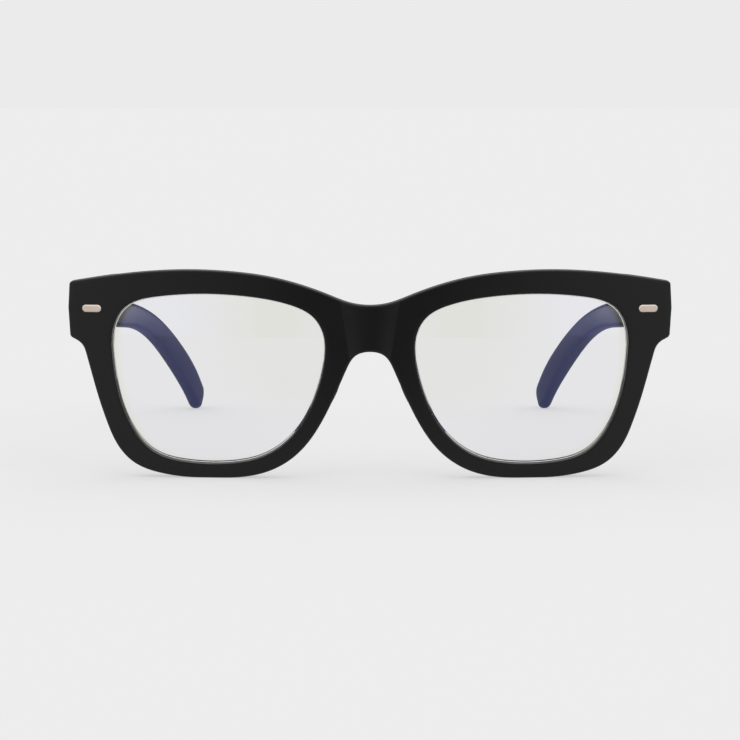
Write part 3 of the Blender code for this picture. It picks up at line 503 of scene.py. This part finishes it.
def front_rings():
    """Rings of points round one lens, in order round the rim's cross-section, and the wall's rings."""
    outer, inner, middle = stations()
    out = normals(outer)
    out[0] = (0, -1)
    out[np.flatnonzero(middle)[-1] + 1] = (0, 1)
    out[middle] = 0
    into = normals(inner)
    mouth = inner + into * FLARE
    rim = mouth + into * INNER_ROUND
    edge = outer - out * OUTER_ROUND
    rounding = np.where(middle, 0.0, OUTER_ROUND)

    def lay(flat, depth, shift=0.0):
        shift = np.broadcast_to(shift, len(flat))
        return [(x, depth(x, z) + s, z) for (x, z), s in zip(flat, shift)]

    length = np.linalg.norm(edge - rim, axis=1)
    narrow = CREASE_HALF / length
    crease = np.clip(crease_shares(rim, edge), 0, 1 - 3 * narrow)
    shares = [crease * k / FACE_INNER_STEPS for k in range(FACE_INNER_STEPS)]
    shares += [crease - narrow, crease + narrow]
    rest = 1 - (crease + narrow)
    shares += [crease + narrow + rest * k / FACE_OUTER_STEPS for k in range(1, FACE_OUTER_STEPS + 1)]
    face = [rim + (edge - rim) * share[:, None] for share in shares]

    def groove(offset, shift):
        deep = inner + into * offset
        return [(x, lens_middle(u, w) + shift, z) for (x, z), (u, w) in zip(deep, inner)]

    rings = [lay(mouth, front_face, INNER_ROUND)]
    for s, c in quarter(INNER_STEPS):
        rings.append(lay(mouth + into * INNER_ROUND * (1 - c), front_face, INNER_ROUND * (1 - s)))
    rings += [lay(flat, front_face) for flat in face]
    first_wall = len(rings) - 1
    for s, c in quarter(OUTER_STEPS):
        rings.append(lay(edge + out * OUTER_ROUND * s, front_face, rounding * (1 - c)))
    rings.append(lay(outer, front_face, rounding))
    rings.append(lay(outer, back_face, -rounding))
    for s, c in quarter(OUTER_STEPS):
        rings.append(lay(edge + out * OUTER_ROUND * c, back_face, -rounding * (1 - s)))
    last_wall = len(rings)
    rings += [lay(flat, back_face) for flat in reversed(face)]
    lip = inner - into * BACK_LIP
    for s, c in quarter(INNER_STEPS):
        rings.append(lay(lip + into * INNER_ROUND * (1 - s), back_face, -INNER_ROUND * (1 - c)))
    rings += [lay(lip, back_face, -INNER_ROUND), groove(-BACK_LIP, BACK_LIP_DEPTH)]
    rings += [groove(0, GROOVE_HALF_WIDTH), groove(GROOVE_DEPTH, 0), groove(0, -GROOVE_HALF_WIDTH)]
    return rings, middle, (first_wall, last_wall)


def plaque_pins(side):
    """Where each pin of a plaque enters the front's face, and the turn that lays it backwards."""
    x, z = PLAQUE_PLACE
    turn = Matrix.Rotation(side * math.atan(x / BEND_RADIUS), 3, "Z")
    lay = turn @ Matrix.Rotation(math.radians(-90), 3, "X")
    face = Vector((side * x, bend(x), z))
    return [(face + turn @ Vector((shift, 0, 0)), lay) for shift in (-PIN_SPACING / 2, PIN_SPACING / 2)]


def front_shell():
    """Rims, bridge and end pieces in one, with the pockets that the hinge leaves sit in."""
    rings, middle, (first_wall, last_wall) = front_rings()
    count = len(rings[0])
    vertices = [point for ring in rings for point in ring]
    faces = []
    for r in range(len(rings)):
        following = (r + 1) % len(rings)
        for k in range(count):
            n = (k + 1) % count
            if first_wall <= r < last_wall and (middle[k] or middle[n]):
                continue
            faces.append((r * count + k, r * count + n, following * count + n, following * count + k))
    obj = add("front_shell", mesh_from("front_shell", vertices, faces))
    mirror = obj.modifiers.new("other half", "MIRROR")
    mirror.merge_threshold = MIDDLE_SEAM
    pockets = []
    for side, label in SIDES:
        inner, outer = FRONT_LEAF_INNER - FIT, FRONT_LEAF_OUTER + FIT
        deep, past = BUTT_Y - LEAF_THICKNESS - FIT, BUTT_Y + PAST
        corners = [(inner, deep), (outer, deep), (outer, past), (inner, past)]
        reach = LEAF_HALF_HEIGHT + FIT
        rows = [[(side * x, y, PIVOT[2] + z) for x, y in corners] for z in (-reach, reach)]
        pockets.append(add(label + "_pocket", skin(label + "_pocket", rows)))
        for start, lay in plaque_pins(side):
            profile = [(PIN_RADIUS + FIT, -PAST), (PIN_RADIUS + FIT, past)]
            pockets.append(add("hole", turned("hole", profile, start, lay, PIN_SIDES)))
    return combine(obj, pockets, "DIFFERENCE")


# ---------------------------------------------------------------- lenses, pads and rivets

def lens(side, label):
    """A curved lens with a bevelled edge that sits in the groove of its rim."""
    knots, at = spline(APERTURE, closed=True)
    aperture = at(np.linspace(0, knots[-1], LENS_POINTS + 1)[:-1])
    into = normals(aperture)
    rim = aperture - into * LENS_CLEARANCE
    apex = aperture + into * (GROOVE_DEPTH - 2 * LENS_CLEARANCE)
    bevel = GROOVE_HALF_WIDTH - 2 * LENS_CLEARANCE
    centre = np.array(LENS_CENTRE)
    lip = aperture - into * LENS_LIP
    sheet = [centre + (lip - centre) * share for share in LENS_SHARES]
    half = LENS_THICKNESS / 2
    rings = [[(x, lens_middle(x, z) - half, z) for x, z in flat] for flat in sheet]
    rings.append([(x, lens_middle(x, z) - bevel, z) for x, z in rim])
    rings.append([(x, lens_middle(u, w), z) for (x, z), (u, w) in zip(apex, rim)])
    rings.append([(x, lens_middle(x, z) + bevel, z) for x, z in rim])
    rings += [[(x, lens_middle(x, z) + half, z) for x, z in flat] for flat in reversed(sheet)]
    rings = [[(side * x, y, z) for x, y, z in ring] for ring in rings]
    return applied(add(label + "_lens_clear", skin(label + "_lens_clear", rings)))


def nose_pad(side, label):
    """A low oval pad on the back of the rim, flat where it is bonded."""
    x, z = PAD_PLACE
    place = Vector((side * x, bend(x) + FRONT_THICKNESS + FIT, z))
    turn = Matrix.Rotation(side * math.atan(x / BEND_RADIUS), 3, "Z")
    turn = turn @ Matrix.Rotation(side * -PAD_LEAN, 3, "Y")
    rings = []
    for rise in np.linspace(0, PAD_TOP, PAD_RINGS):
        flat = math.cos(rise)
        ring = []
        for k in range(PAD_POINTS):
            around = 2 * math.pi * k / PAD_POINTS
            ring.append(place + turn @ Vector((
                PAD_HALF[0] * flat * math.cos(around), PAD_HALF[1] * math.sin(rise),
                PAD_HALF[2] * flat * math.sin(around),
            )))
        rings.append(ring)
    return applied(add(label + "_pad_soft", skin(label + "_pad_soft", rings)))


def plaque(side, label):
    """A long round-ended rivet head on the end piece, flat with a facet all round, with its two pins."""
    x, z = PLAQUE_PLACE
    place = Vector((side * x, bend(x), z))
    turn = Matrix.Rotation(side * math.atan(x / BEND_RADIUS), 3, "Z")
    radius = PLAQUE_HEIGHT / 2
    straight = PLAQUE_LENGTH / 2 - radius

    def pill(shrink, depth):
        points = []
        for end in (1, -1):
            for k in range(PILL_STEPS + 1):
                angle = -math.pi / 2 + math.pi * k / PILL_STEPS
                across = straight + (radius - shrink) * math.cos(angle)
                up = (radius - shrink) * math.sin(angle)
                points.append(place + turn @ Vector((end * across, depth, end * up)))
        return points

    rings = [pill(0.0, -FIT), pill(0.0, PLAQUE_BEVEL_DEPTH - PLAQUE_THICKNESS)]
    rings += [pill(PLAQUE_BEVEL, -PLAQUE_THICKNESS), pill(radius * PLAQUE_CROWN, -PLAQUE_THICKNESS)]
    obj = add(label + "_plaque", skin(label + "_plaque", rings))
    length = BUTT_Y - bend(x)
    left, long, wide = PIN_END
    profile = [(PIN_RADIUS, -PLAQUE_THICKNESS / 2), (PIN_RADIUS, length - left)]
    profile += [(PIN_RADIUS - wide * (1 - c), length - left + long * s) for s, c in quarter(PIN_STEPS)]
    profile += [(PIN_RADIUS * PIN_FLAT, length - PIN_SHORT)]
    pins = [turned("pin", profile, start, lay, PIN_SIDES) for start, lay in plaque_pins(side)]
    return combine(obj, [add("pin", pin) for pin in pins], "UNION")


# ---------------------------------------------------------------- hinges

def hinge_point(side, x, y, z):
    """A point given from the pivot, in the leaning axes of the hinge; x grows outwards."""
    pivot = Vector((side * PIVOT[0], PIVOT[1], PIVOT[2]))
    return pivot + Matrix.Rotation(-TILT, 3, "X") @ Vector((side * x, y, z))


def softened(node, name):
    """A copy of a packed hinge leaf with its hard edges broken by a small bevel."""
    mesh = frame["nodes"][node].data.copy()
    shape = bmesh.new()
    shape.from_mesh(mesh)
    bmesh.ops.remove_doubles(shape, verts=shape.verts, dist=SAME_POINT)
    bmesh.ops.dissolve_limit(shape, angle_limit=FLAT_ANGLE, verts=shape.verts, edges=shape.edges)
    shape.to_mesh(mesh)
    shape.free()
    obj = add(name, mesh)
    bevel = obj.modifiers.new("broken edges", "BEVEL")
    bevel.width = LEAF_BREAK * MM
    bevel.segments = 2
    bevel.limit_method = "ANGLE"
    bevel.angle_limit = BREAK_ANGLE
    return applied(obj)


def hinge_screw(side, label):
    """The pin of the hinge: a slotted screw with a low domed head, from above."""
    top = SCREW_HALF_LENGTH + FIT
    low = -SCREW_HALF_LENGTH
    crown = top + SCREW_HEAD_HEIGHT
    head = SCREW_HEAD_RADIUS
    wide, deep = SCREW_DOME
    start = crown - SCREW_DOME_DROP
    profile = [(head * SCREW_CENTRE, crown), (head * SCREW_CROWN_RADIUS, crown - SCREW_CROWN_DROP)]
    profile += [(head - wide * (1 - s), start - deep * (1 - c)) for s, c in quarter(SCREW_STEPS)]
    profile += [(head, crown - SCREW_RIM), (head, top), (SCREW_RADIUS, top)]
    profile += [(SCREW_RADIUS, low + SCREW_BREAK), (SCREW_RADIUS - SCREW_BREAK, low)]
    turn = Matrix.Rotation(-TILT, 3, "X")
    middle = hinge_point(side, 0, 0, 0)
    obj = add(label + "_screw", turned(label + "_screw", profile, middle, turn, ROUND_SIDES))
    reach, half = head + PAST, SLOT_HALF_WIDTH
    slot = [(-reach, -half), (reach, -half), (reach, half), (-reach, half)]
    rows = [[hinge_point(side, x, y, z) for x, y in slot] for z in (crown - SLOT_DEPTH, crown + PAST)]
    return combine(obj, [add("slot", skin("slot", rows))], "DIFFERENCE")


def temple_rivet(side, name, y):
    """A rivet through the temple, with a low domed head outside and its end in the hinge leaf."""
    outer = hinge_point(side, TEMPLE_OUTER - PIVOT[0] + RIVET_RAISED, y - PIVOT[1], 0)
    inner = hinge_point(side, TEMPLE_INNER - PIVOT[0] - RIVET_PAST, y - PIVOT[1], 0)
    length = (inner - outer).length
    head, tall = RIVET_HEAD_RADIUS, RIVET_HEAD_HEIGHT
    profile = [(head * s, -tall * RIVET_DOME * (1 - c)) for s, c in quarter(RIVET_STEPS)[1:]]
    profile += [(head, -tall * RIVET_SIDE), (head, -tall), (PIN_RADIUS, -tall)]
    profile += [(PIN_RADIUS, -length + RIVET_BREAK), (PIN_RADIUS - RIVET_BREAK, -length)]
    turn = Vector((0, 0, -1)).rotation_difference(inner - outer).to_matrix()
    return applied(add(name, turned(name, profile, outer, turn, ROUND_SIDES)))


# ---------------------------------------------------------------- temples

def temple_path():
    """Places along a temple, and the middle line, height and thickness at each."""
    rows = [(*p, h, t) for p, h, t in zip(TEMPLE_LINE, TEMPLE_HEIGHT, TEMPLE_THICKNESS)]
    knots, at = spline(rows)
    points = at(np.linspace(0, knots[-1], TEMPLE_SAMPLES))
    steps = np.linalg.norm(np.diff(points[:, :3], axis=0), axis=1)
    return np.concatenate([[0], np.cumsum(steps)]), points


def temple_frame(walked, points, place):
    """Point, tangent, sideways, upward, height and thickness of the temple at a place along it."""
    def at(where):
        where = min(max(where, 0), walked[-1])
        return [float(np.interp(where, walked, points[:, i])) for i in range(5)]

    here = at(place)
    ahead, behind = Vector(at(place + TANGENT_REACH)[:3]), Vector(at(place - TANGENT_REACH)[:3])
    tangent = (ahead - behind).normalized()
    sideways = tangent.cross(Vector((0, 0, 1))).normalized()
    return Vector(here[:3]), tangent, sideways, sideways.cross(tangent), here[3], here[4]


def rounded_section(width, height, corner):
    """A rectangle with round corners, as points round its middle."""
    corner = min(corner, width * MOST_CORNER, height * MOST_CORNER)
    points = []
    for sx, sz, first in ((1, 1, 0), (-1, 1, 1), (-1, -1, 2), (1, -1, 3)):
        for k in range(SECTION_STEPS + 1):
            angle = math.pi / 2 * (first + k / SECTION_STEPS)
            points.append((
                sx * (width / 2 - corner) + corner * math.cos(angle),
                sz * (height / 2 - corner) + corner * math.sin(angle),
            ))
    return points


def temple_sections():
    """Place along the temple, and how much its section draws in there, at the butt and round the tip."""
    walked, points = temple_path()
    end = walked[-1]
    butt = [(BUTT_ROUND * (1 - c), BUTT_ROUND * (1 - s)) for s, c in [(0, 1), *quarter(INNER_STEPS)]]
    main = [(place, 0.0) for place in np.linspace(BUTT_ROUND, end - TIP_ROUND, TEMPLE_STATIONS)]
    tip = [(end - TIP_ROUND * (1 - s), c) for s, c in quarter(TIP_STEPS)]
    return walked, points, butt, main, tip


def leaf_pocket(side):
    """The shape cut out of the temple's inner face for its hinge leaf."""
    inner = TEMPLE_INNER - PIVOT[0]
    start, stop = TEMPLE_LEAF_START - PIVOT[1] - FIT, TEMPLE_LEAF_END - PIVOT[1] + FIT
    deep = inner + LEAF_THICKNESS + FIT
    corners = [(inner - POCKET_PAST, start), (deep, start), (deep, stop), (inner - POCKET_PAST, stop)]
    reach = LEAF_HALF_HEIGHT + FIT
    rows = [[hinge_point(side, x, y, z) for x, y in corners] for z in (-reach, reach)]
    return add("pocket", skin("pocket", rows))


def rivet_hole(side, y):
    """The shape cut through the temple for a rivet, wider where its head is sunk."""
    outer = hinge_point(side, TEMPLE_OUTER - PIVOT[0] + PAST, y - PIVOT[1], 0)
    inner = hinge_point(side, TEMPLE_INNER - PIVOT[0] - PAST, y - PIVOT[1], 0)
    turn = Vector((0, 0, -1)).rotation_difference(inner - outer).to_matrix()
    wide, narrow = RIVET_HEAD_RADIUS + FIT, PIN_RADIUS + FIT
    seat = -PAST - RIVET_HEAD_HEIGHT
    profile = [(wide, PAST), (wide, seat), (narrow, seat), (narrow, -RIVET_HOLE)]
    return add("hole", turned("hole", profile, outer, turn, ROUND_SIDES))


def temple(side, label):
    """A tapering arm that bends down behind the ear and ends in a round tip, with its leaf's pocket."""
    walked, points, butt, main, tip = temple_sections()
    rows = [(place, inset, 1.0) for place, inset in butt + main] + [(place, 0.0, c) for place, c in tip]
    rings = []
    for place, inset, shrink in rows:
        here, tangent, sideways, upward, height, thickness = temple_frame(walked, points, place)
        width = (thickness - 2 * inset) * math.sqrt(shrink)
        tall = (height - 2 * inset) * shrink
        corner = TEMPLE_CORNER + (TIP_CORNER - TEMPLE_CORNER) * smooth_step(0, walked[-1], place)
        ring = []
        for across, up in rounded_section(width, tall, corner - inset):
            point = here + sideways * across + upward * up
            if place < BUTT_SQUARE:
                point += tangent * ((TEMPLE_START + place - point.y) / tangent.y)
            ring.append((side * point.x, point.y, max(point.z, 0)))
        rings.append(ring)
    obj = add(label + "_arm_shell", skin(label + "_arm_shell", rings))
    return combine(obj, [leaf_pocket(side), *(rivet_hole(side, y) for y in TEMPLE_RIVETS)], "DIFFERENCE")


# ---------------------------------------------------------------- materials

class Nodes:
    """Short words for building a node tree, where a value may also be another node's output."""

    def __init__(self, tree):
        self.tree = tree
        tree.nodes.clear()

    def add(self, kind, **settings):
        node = self.tree.nodes.new(kind)
        for key, value in settings.items():
            if hasattr(node, key):
                setattr(node, key, value)
            else:
                self.put(node.inputs[key], value)
        return node

    def put(self, socket, value):
        if isinstance(value, bpy.types.NodeSocket):
            self.tree.links.new(value, socket)
        else:
            socket.default_value = value

    def noise(self, place, scale, detail=2.0, roughness=0.5):
        node = self.add("ShaderNodeTexNoise", Vector=place, Scale=scale, Detail=detail)
        node.inputs["Roughness"].default_value = roughness
        return node.outputs["Fac"]

    def ramp(self, value, low, high, out_low, out_high):
        node = self.add("ShaderNodeMapRange", Value=value)
        ends = {"From Min": low, "From Max": high, "To Min": out_low, "To Max": out_high}
        for key, number in ends.items():
            node.inputs[key].default_value = number
        return node.outputs["Result"]

    def math(self, operation, *values):
        node = self.add("ShaderNodeMath", operation=operation)
        for socket, value in zip(node.inputs, values):
            self.put(socket, value)
        return node.outputs[0]

    def blend(self, share, dark, light):
        node = self.add("ShaderNodeMix", data_type="RGBA")
        self.put(node.inputs["Factor"], share)
        self.put(node.inputs[6], (*dark, 1))
        self.put(node.inputs[7], (*light, 1))
        return node.outputs[2]

    def bump(self, height, depth, strength, under=None):
        node = self.add("ShaderNodeBump", Height=height, Distance=depth * MM, Strength=strength)
        if under:
            self.put(node.inputs["Normal"], under)
        return node.outputs["Normal"]

    def stretched(self, place, scale):
        node = self.add("ShaderNodeMapping", Vector=place)
        node.inputs["Scale"].default_value = scale
        return node.outputs["Vector"]


def new_material(name):
    """A material, short words for its nodes, its shader, and places on the object in metres."""
    made = bpy.data.materials.new(name)
    made.use_nodes = True
    nodes = Nodes(made.node_tree)
    shader = nodes.add("ShaderNodeBsdfPrincipled")
    output = nodes.add("ShaderNodeOutputMaterial")
    nodes.tree.links.new(shader.outputs[0], output.inputs["Surface"])
    place = nodes.add("ShaderNodeTexCoord").outputs["Object"]
    return made, nodes, shader, place


def matte_plastic():
    """Black plastic with a satin, finely grained skin, faint handling marks and an uneven sheen."""
    made, nodes, shader, place = new_material("matte_black_plastic")
    mottle = nodes.noise(place, 55, 3)
    grain = nodes.noise(place, 3200, 3, 0.6)
    hairs = nodes.noise(nodes.stretched(place, (90, 400, 2600)), 1.0, 2)
    black = nodes.blend(mottle, (0.0026, 0.0026, 0.0030), (0.0042, 0.0040, 0.0045))
    nodes.put(shader.inputs["Base Color"], black)
    sheen = nodes.ramp(mottle, 0.3, 0.7, 0.31, 0.37)
    marks = nodes.ramp(hairs, 0.60, 0.72, 0.0, 0.05)
    nodes.put(shader.inputs["Roughness"], nodes.math("ADD", sheen, marks))
    skin_bump = nodes.bump(grain, 0.006, 0.3)
    nodes.put(shader.inputs["Normal"], nodes.bump(mottle, 0.05, 0.15, skin_bump))
    shader.inputs["Specular IOR Level"].default_value = 0.26
    return made


def coated_lens():
    """Clear polycarbonate that mirrors blue more than red and green, and lets lamps through."""
    made, nodes, shader, place = new_material("coated_clear_lens")
    shader.inputs["Base Color"].default_value = (0.925, 0.925, 0.94, 1)
    shader.inputs["Transmission Weight"].default_value = 1.0
    shader.inputs["IOR"].default_value = 1.65
    shader.inputs["Specular Tint"].default_value = (0.34, 0.38, 1.0, 1)
    film = nodes.noise(place, 260, 3)
    nodes.put(shader.inputs["Roughness"], nodes.ramp(film, 0.35, 0.75, 0.0, 0.012))
    output = nodes.tree.nodes["Material Output"]
    clear = nodes.add("ShaderNodeBsdfTransparent", Color=(0.95, 0.95, 0.93, 1))
    path = nodes.add("ShaderNodeLightPath")
    mix = nodes.add("ShaderNodeMixShader", Fac=path.outputs["Is Shadow Ray"])
    nodes.put(mix.inputs[1], shader.outputs[0])
    nodes.put(mix.inputs[2], clear.outputs[0])
    nodes.put(output.inputs["Surface"], mix.outputs[0])
    return made


def brushed_metal(name, dark, light, direction, roughness):
    """Metal with fine brushed lines and an uneven polish."""
    made, nodes, shader, place = new_material(name)
    lines = nodes.noise(nodes.stretched(place, direction), 1.0, 3, 0.6)
    cloud = nodes.noise(place, 700, 2)
    nodes.put(shader.inputs["Base Color"], nodes.blend(cloud, dark, light))
    uneven = nodes.ramp(lines, 0.25, 0.75, roughness - 0.06, roughness + 0.08)
    nodes.put(shader.inputs["Roughness"], uneven)
    nodes.put(shader.inputs["Normal"], nodes.bump(lines, 0.006, 0.25))
    shader.inputs["Metallic"].default_value = 1.0
    return made


def light_table(albedo, glow):
    """A pale table lit from below, painted dark ahead of and behind the glasses where only mirrors see
    it: a painted dark reflection.
    """
    made, nodes, shader, place = new_material("light_table")
    tooth = nodes.noise(place, 900, 3)
    parts = nodes.add("ShaderNodeSeparateXYZ", Vector=place)
    # Painted dark reflection: for mirror rays only, the table turns dark in a gap ahead of the glasses
    # and a band behind them.
    ahead = nodes.math("MULTIPLY", parts.outputs["Y"], -1.0)
    aside = nodes.math("DIVIDE", nodes.math("ABSOLUTE", parts.outputs["X"]), ahead)
    near = nodes.ramp(aside, *(math.tan(math.radians(angle)) for angle in GAP_HALF), 1.0, 0.0)
    gap = nodes.math("MULTIPLY", near, nodes.ramp(ahead, *PAINTED_REFLECTION_AHEAD, 0.0, 1.0))
    painted_band = nodes.ramp(parts.outputs["Y"], *PAINTED_REFLECTION_BAND_START, 0.0, PAINTED_REFLECTION_BAND_DARK)
    painted_band = nodes.math("MULTIPLY", painted_band, nodes.ramp(parts.outputs["Y"], *PAINTED_REFLECTION_BAND_END, 1.0, 0.0))
    path = nodes.add("ShaderNodeLightPath")
    mirrored = nodes.math("SUBTRACT", path.outputs["Is Glossy Ray"], path.outputs["Is Transmission Ray"])
    mirrored = nodes.math("GREATER_THAN", mirrored, 0.5)
    gap = nodes.math("MULTIPLY", nodes.math("MAXIMUM", gap, painted_band), mirrored)
    nodes.put(shader.inputs["Base Color"], nodes.blend(gap, (albedo,) * 3, (GAP_LIGHT * albedo,) * 3))
    nodes.put(shader.inputs["Normal"], nodes.bump(tooth, 0.02, 0.1))
    shader.inputs["Roughness"].default_value = 0.9
    shader.inputs["Specular IOR Level"].default_value = 0.0
    shader.inputs["Emission Color"].default_value = (1, 1, 1, 1)
    nodes.put(shader.inputs["Emission Strength"], nodes.ramp(gap, 0.0, 1.0, glow, GAP_LIGHT * glow))
    return made


# ---------------------------------------------------------------- studio

def floor():
    """A round table, so wide that its edge is lost in the distance."""
    mesh = bpy.data.meshes.new("floor")
    shape = bmesh.new()
    bmesh.ops.create_circle(shape, cap_ends=True, segments=96, radius=FLOOR_RADIUS)
    shape.to_mesh(mesh)
    shape.free()
    obj = add("floor", mesh)
    obj.location.z = -TABLE_DROP
    mesh.materials.append(light_table(TABLE_ALBEDO, TABLE_GLOW))


def studio_light():
    """Soft light from all round and above, with a dark gap ahead and a low dark strip behind."""
    world = bpy.data.worlds.new("studio")
    bpy.context.scene.world = world
    world.use_nodes = True
    nodes = Nodes(world.node_tree)
    direction = nodes.add("ShaderNodeTexCoord").outputs["Generated"]
    parts = nodes.add("ShaderNodeSeparateXYZ", Vector=direction)

    def sines(degrees):
        return [math.sin(math.radians(angle)) for angle in degrees]

    ahead = nodes.ramp(parts.outputs["Y"], *GAP_AHEAD, 1.0, 0.0)
    near = nodes.ramp(nodes.math("ABSOLUTE", parts.outputs["X"]), *sines(GAP_HALF), 1.0, 0.0)
    low = nodes.ramp(parts.outputs["Z"], *sines(GAP_TOP), 1.0, 0.0)
    front_gap = nodes.math("MULTIPLY", nodes.math("MULTIPLY", ahead, near), low)
    behind = nodes.ramp(parts.outputs["Y"], *GAP_BEHIND, 0.0, 1.0)
    very_low = nodes.ramp(parts.outputs["Z"], *sines(BACK_GAP_TOP), 1.0, 0.0)
    gap = nodes.math("ADD", front_gap, nodes.math("MULTIPLY", behind, very_low))
    open_light = nodes.ramp(parts.outputs["Z"], sines(GAP_TOP)[0], 1.0, SIDE_LIGHT, TOP_LIGHT)
    drop = nodes.math("MULTIPLY", gap, SIDE_LIGHT - GAP_LIGHT)
    total = nodes.math("SUBTRACT", open_light, drop)
    light = nodes.add("ShaderNodeBackground", Strength=total)
    light.inputs["Color"].default_value = (1, 1, 1, 1)
    seen = nodes.add("ShaderNodeBackground", Strength=BACKDROP)
    seen.inputs["Color"].default_value = (1, 1, 1, 1)
    path = nodes.add("ShaderNodeLightPath")
    mix = nodes.add("ShaderNodeMixShader", Fac=path.outputs["Is Camera Ray"])
    nodes.put(mix.inputs[1], light.outputs[0])
    nodes.put(mix.inputs[2], seen.outputs[0])
    output = nodes.add("ShaderNodeOutputWorld")
    nodes.put(output.inputs["Surface"], mix.outputs[0])


def camera():
    """A view from straight ahead and slightly above, through a long lens."""
    data = bpy.data.cameras.new("camera")
    obj = bpy.data.objects.new("camera", data)
    bpy.context.scene.collection.objects.link(obj)
    bpy.context.scene.camera = obj
    target = Vector((0, DEPTH_SHIFT * MM, CAMERA_AIM))
    back = Vector((0, -math.cos(CAMERA_ELEVATION), math.sin(CAMERA_ELEVATION)))
    obj.location = target + back * CAMERA_DISTANCE
    obj.rotation_euler = (math.pi / 2 - CAMERA_ELEVATION, 0, 0)
    data.lens = CAMERA_LENS
    data.shift_y = CAMERA_SHIFT
    data.clip_start = 0.01
    data.clip_end = 100


# ---------------------------------------------------------------- everything

plastic = matte_plastic()
clear = coated_lens()
silver = brushed_metal("brushed_silver", (0.60, 0.51, 0.43), (0.68, 0.58, 0.50), (300, 3000, 9000), 0.24)
steel = brushed_metal("machined_steel", (0.50, 0.50, 0.51), (0.60, 0.59, 0.58), (4000, 4000, 300), 0.28)

dress(front_shell(), "front", "front_frame", plastic)
for side, label in SIDES:
    arm = label + "_arm"
    dress(lens(side, label), "front", label + "_lens", clear)
    dress(nose_pad(side, label), "front", label + "_nose_pad", plastic)
    dress(plaque(side, label), "front", label + "_front_plaque", silver)
    leaf = softened(label + "_front_hinge_leaf", label + "_front_leaf")
    dress(leaf, "front", label + "_front_hinge_leaf", steel)
    dress(hinge_screw(side, label), "front", label + "_hinge_screw", steel)
    dress(temple(side, label), arm, label + "_temple", plastic)
    leaf = softened(label + "_temple_hinge_leaf", label + "_temple_leaf")
    dress(leaf, arm, label + "_temple_hinge_leaf", steel)
    for number, y in enumerate(TEMPLE_RIVETS, 1):
        rivet = temple_rivet(side, f"{label}_rivet_{number}", y)
        dress(rivet, arm, f"{label}_temple_rivet_{number}", silver)
    wire = frame["nodes"][label + "_core_wire"]
    wire.data.materials.clear()
    wire.data.materials.append(steel)

floor()
studio_light()
camera()
bpy.context.scene.view_settings.view_transform = "Standard"
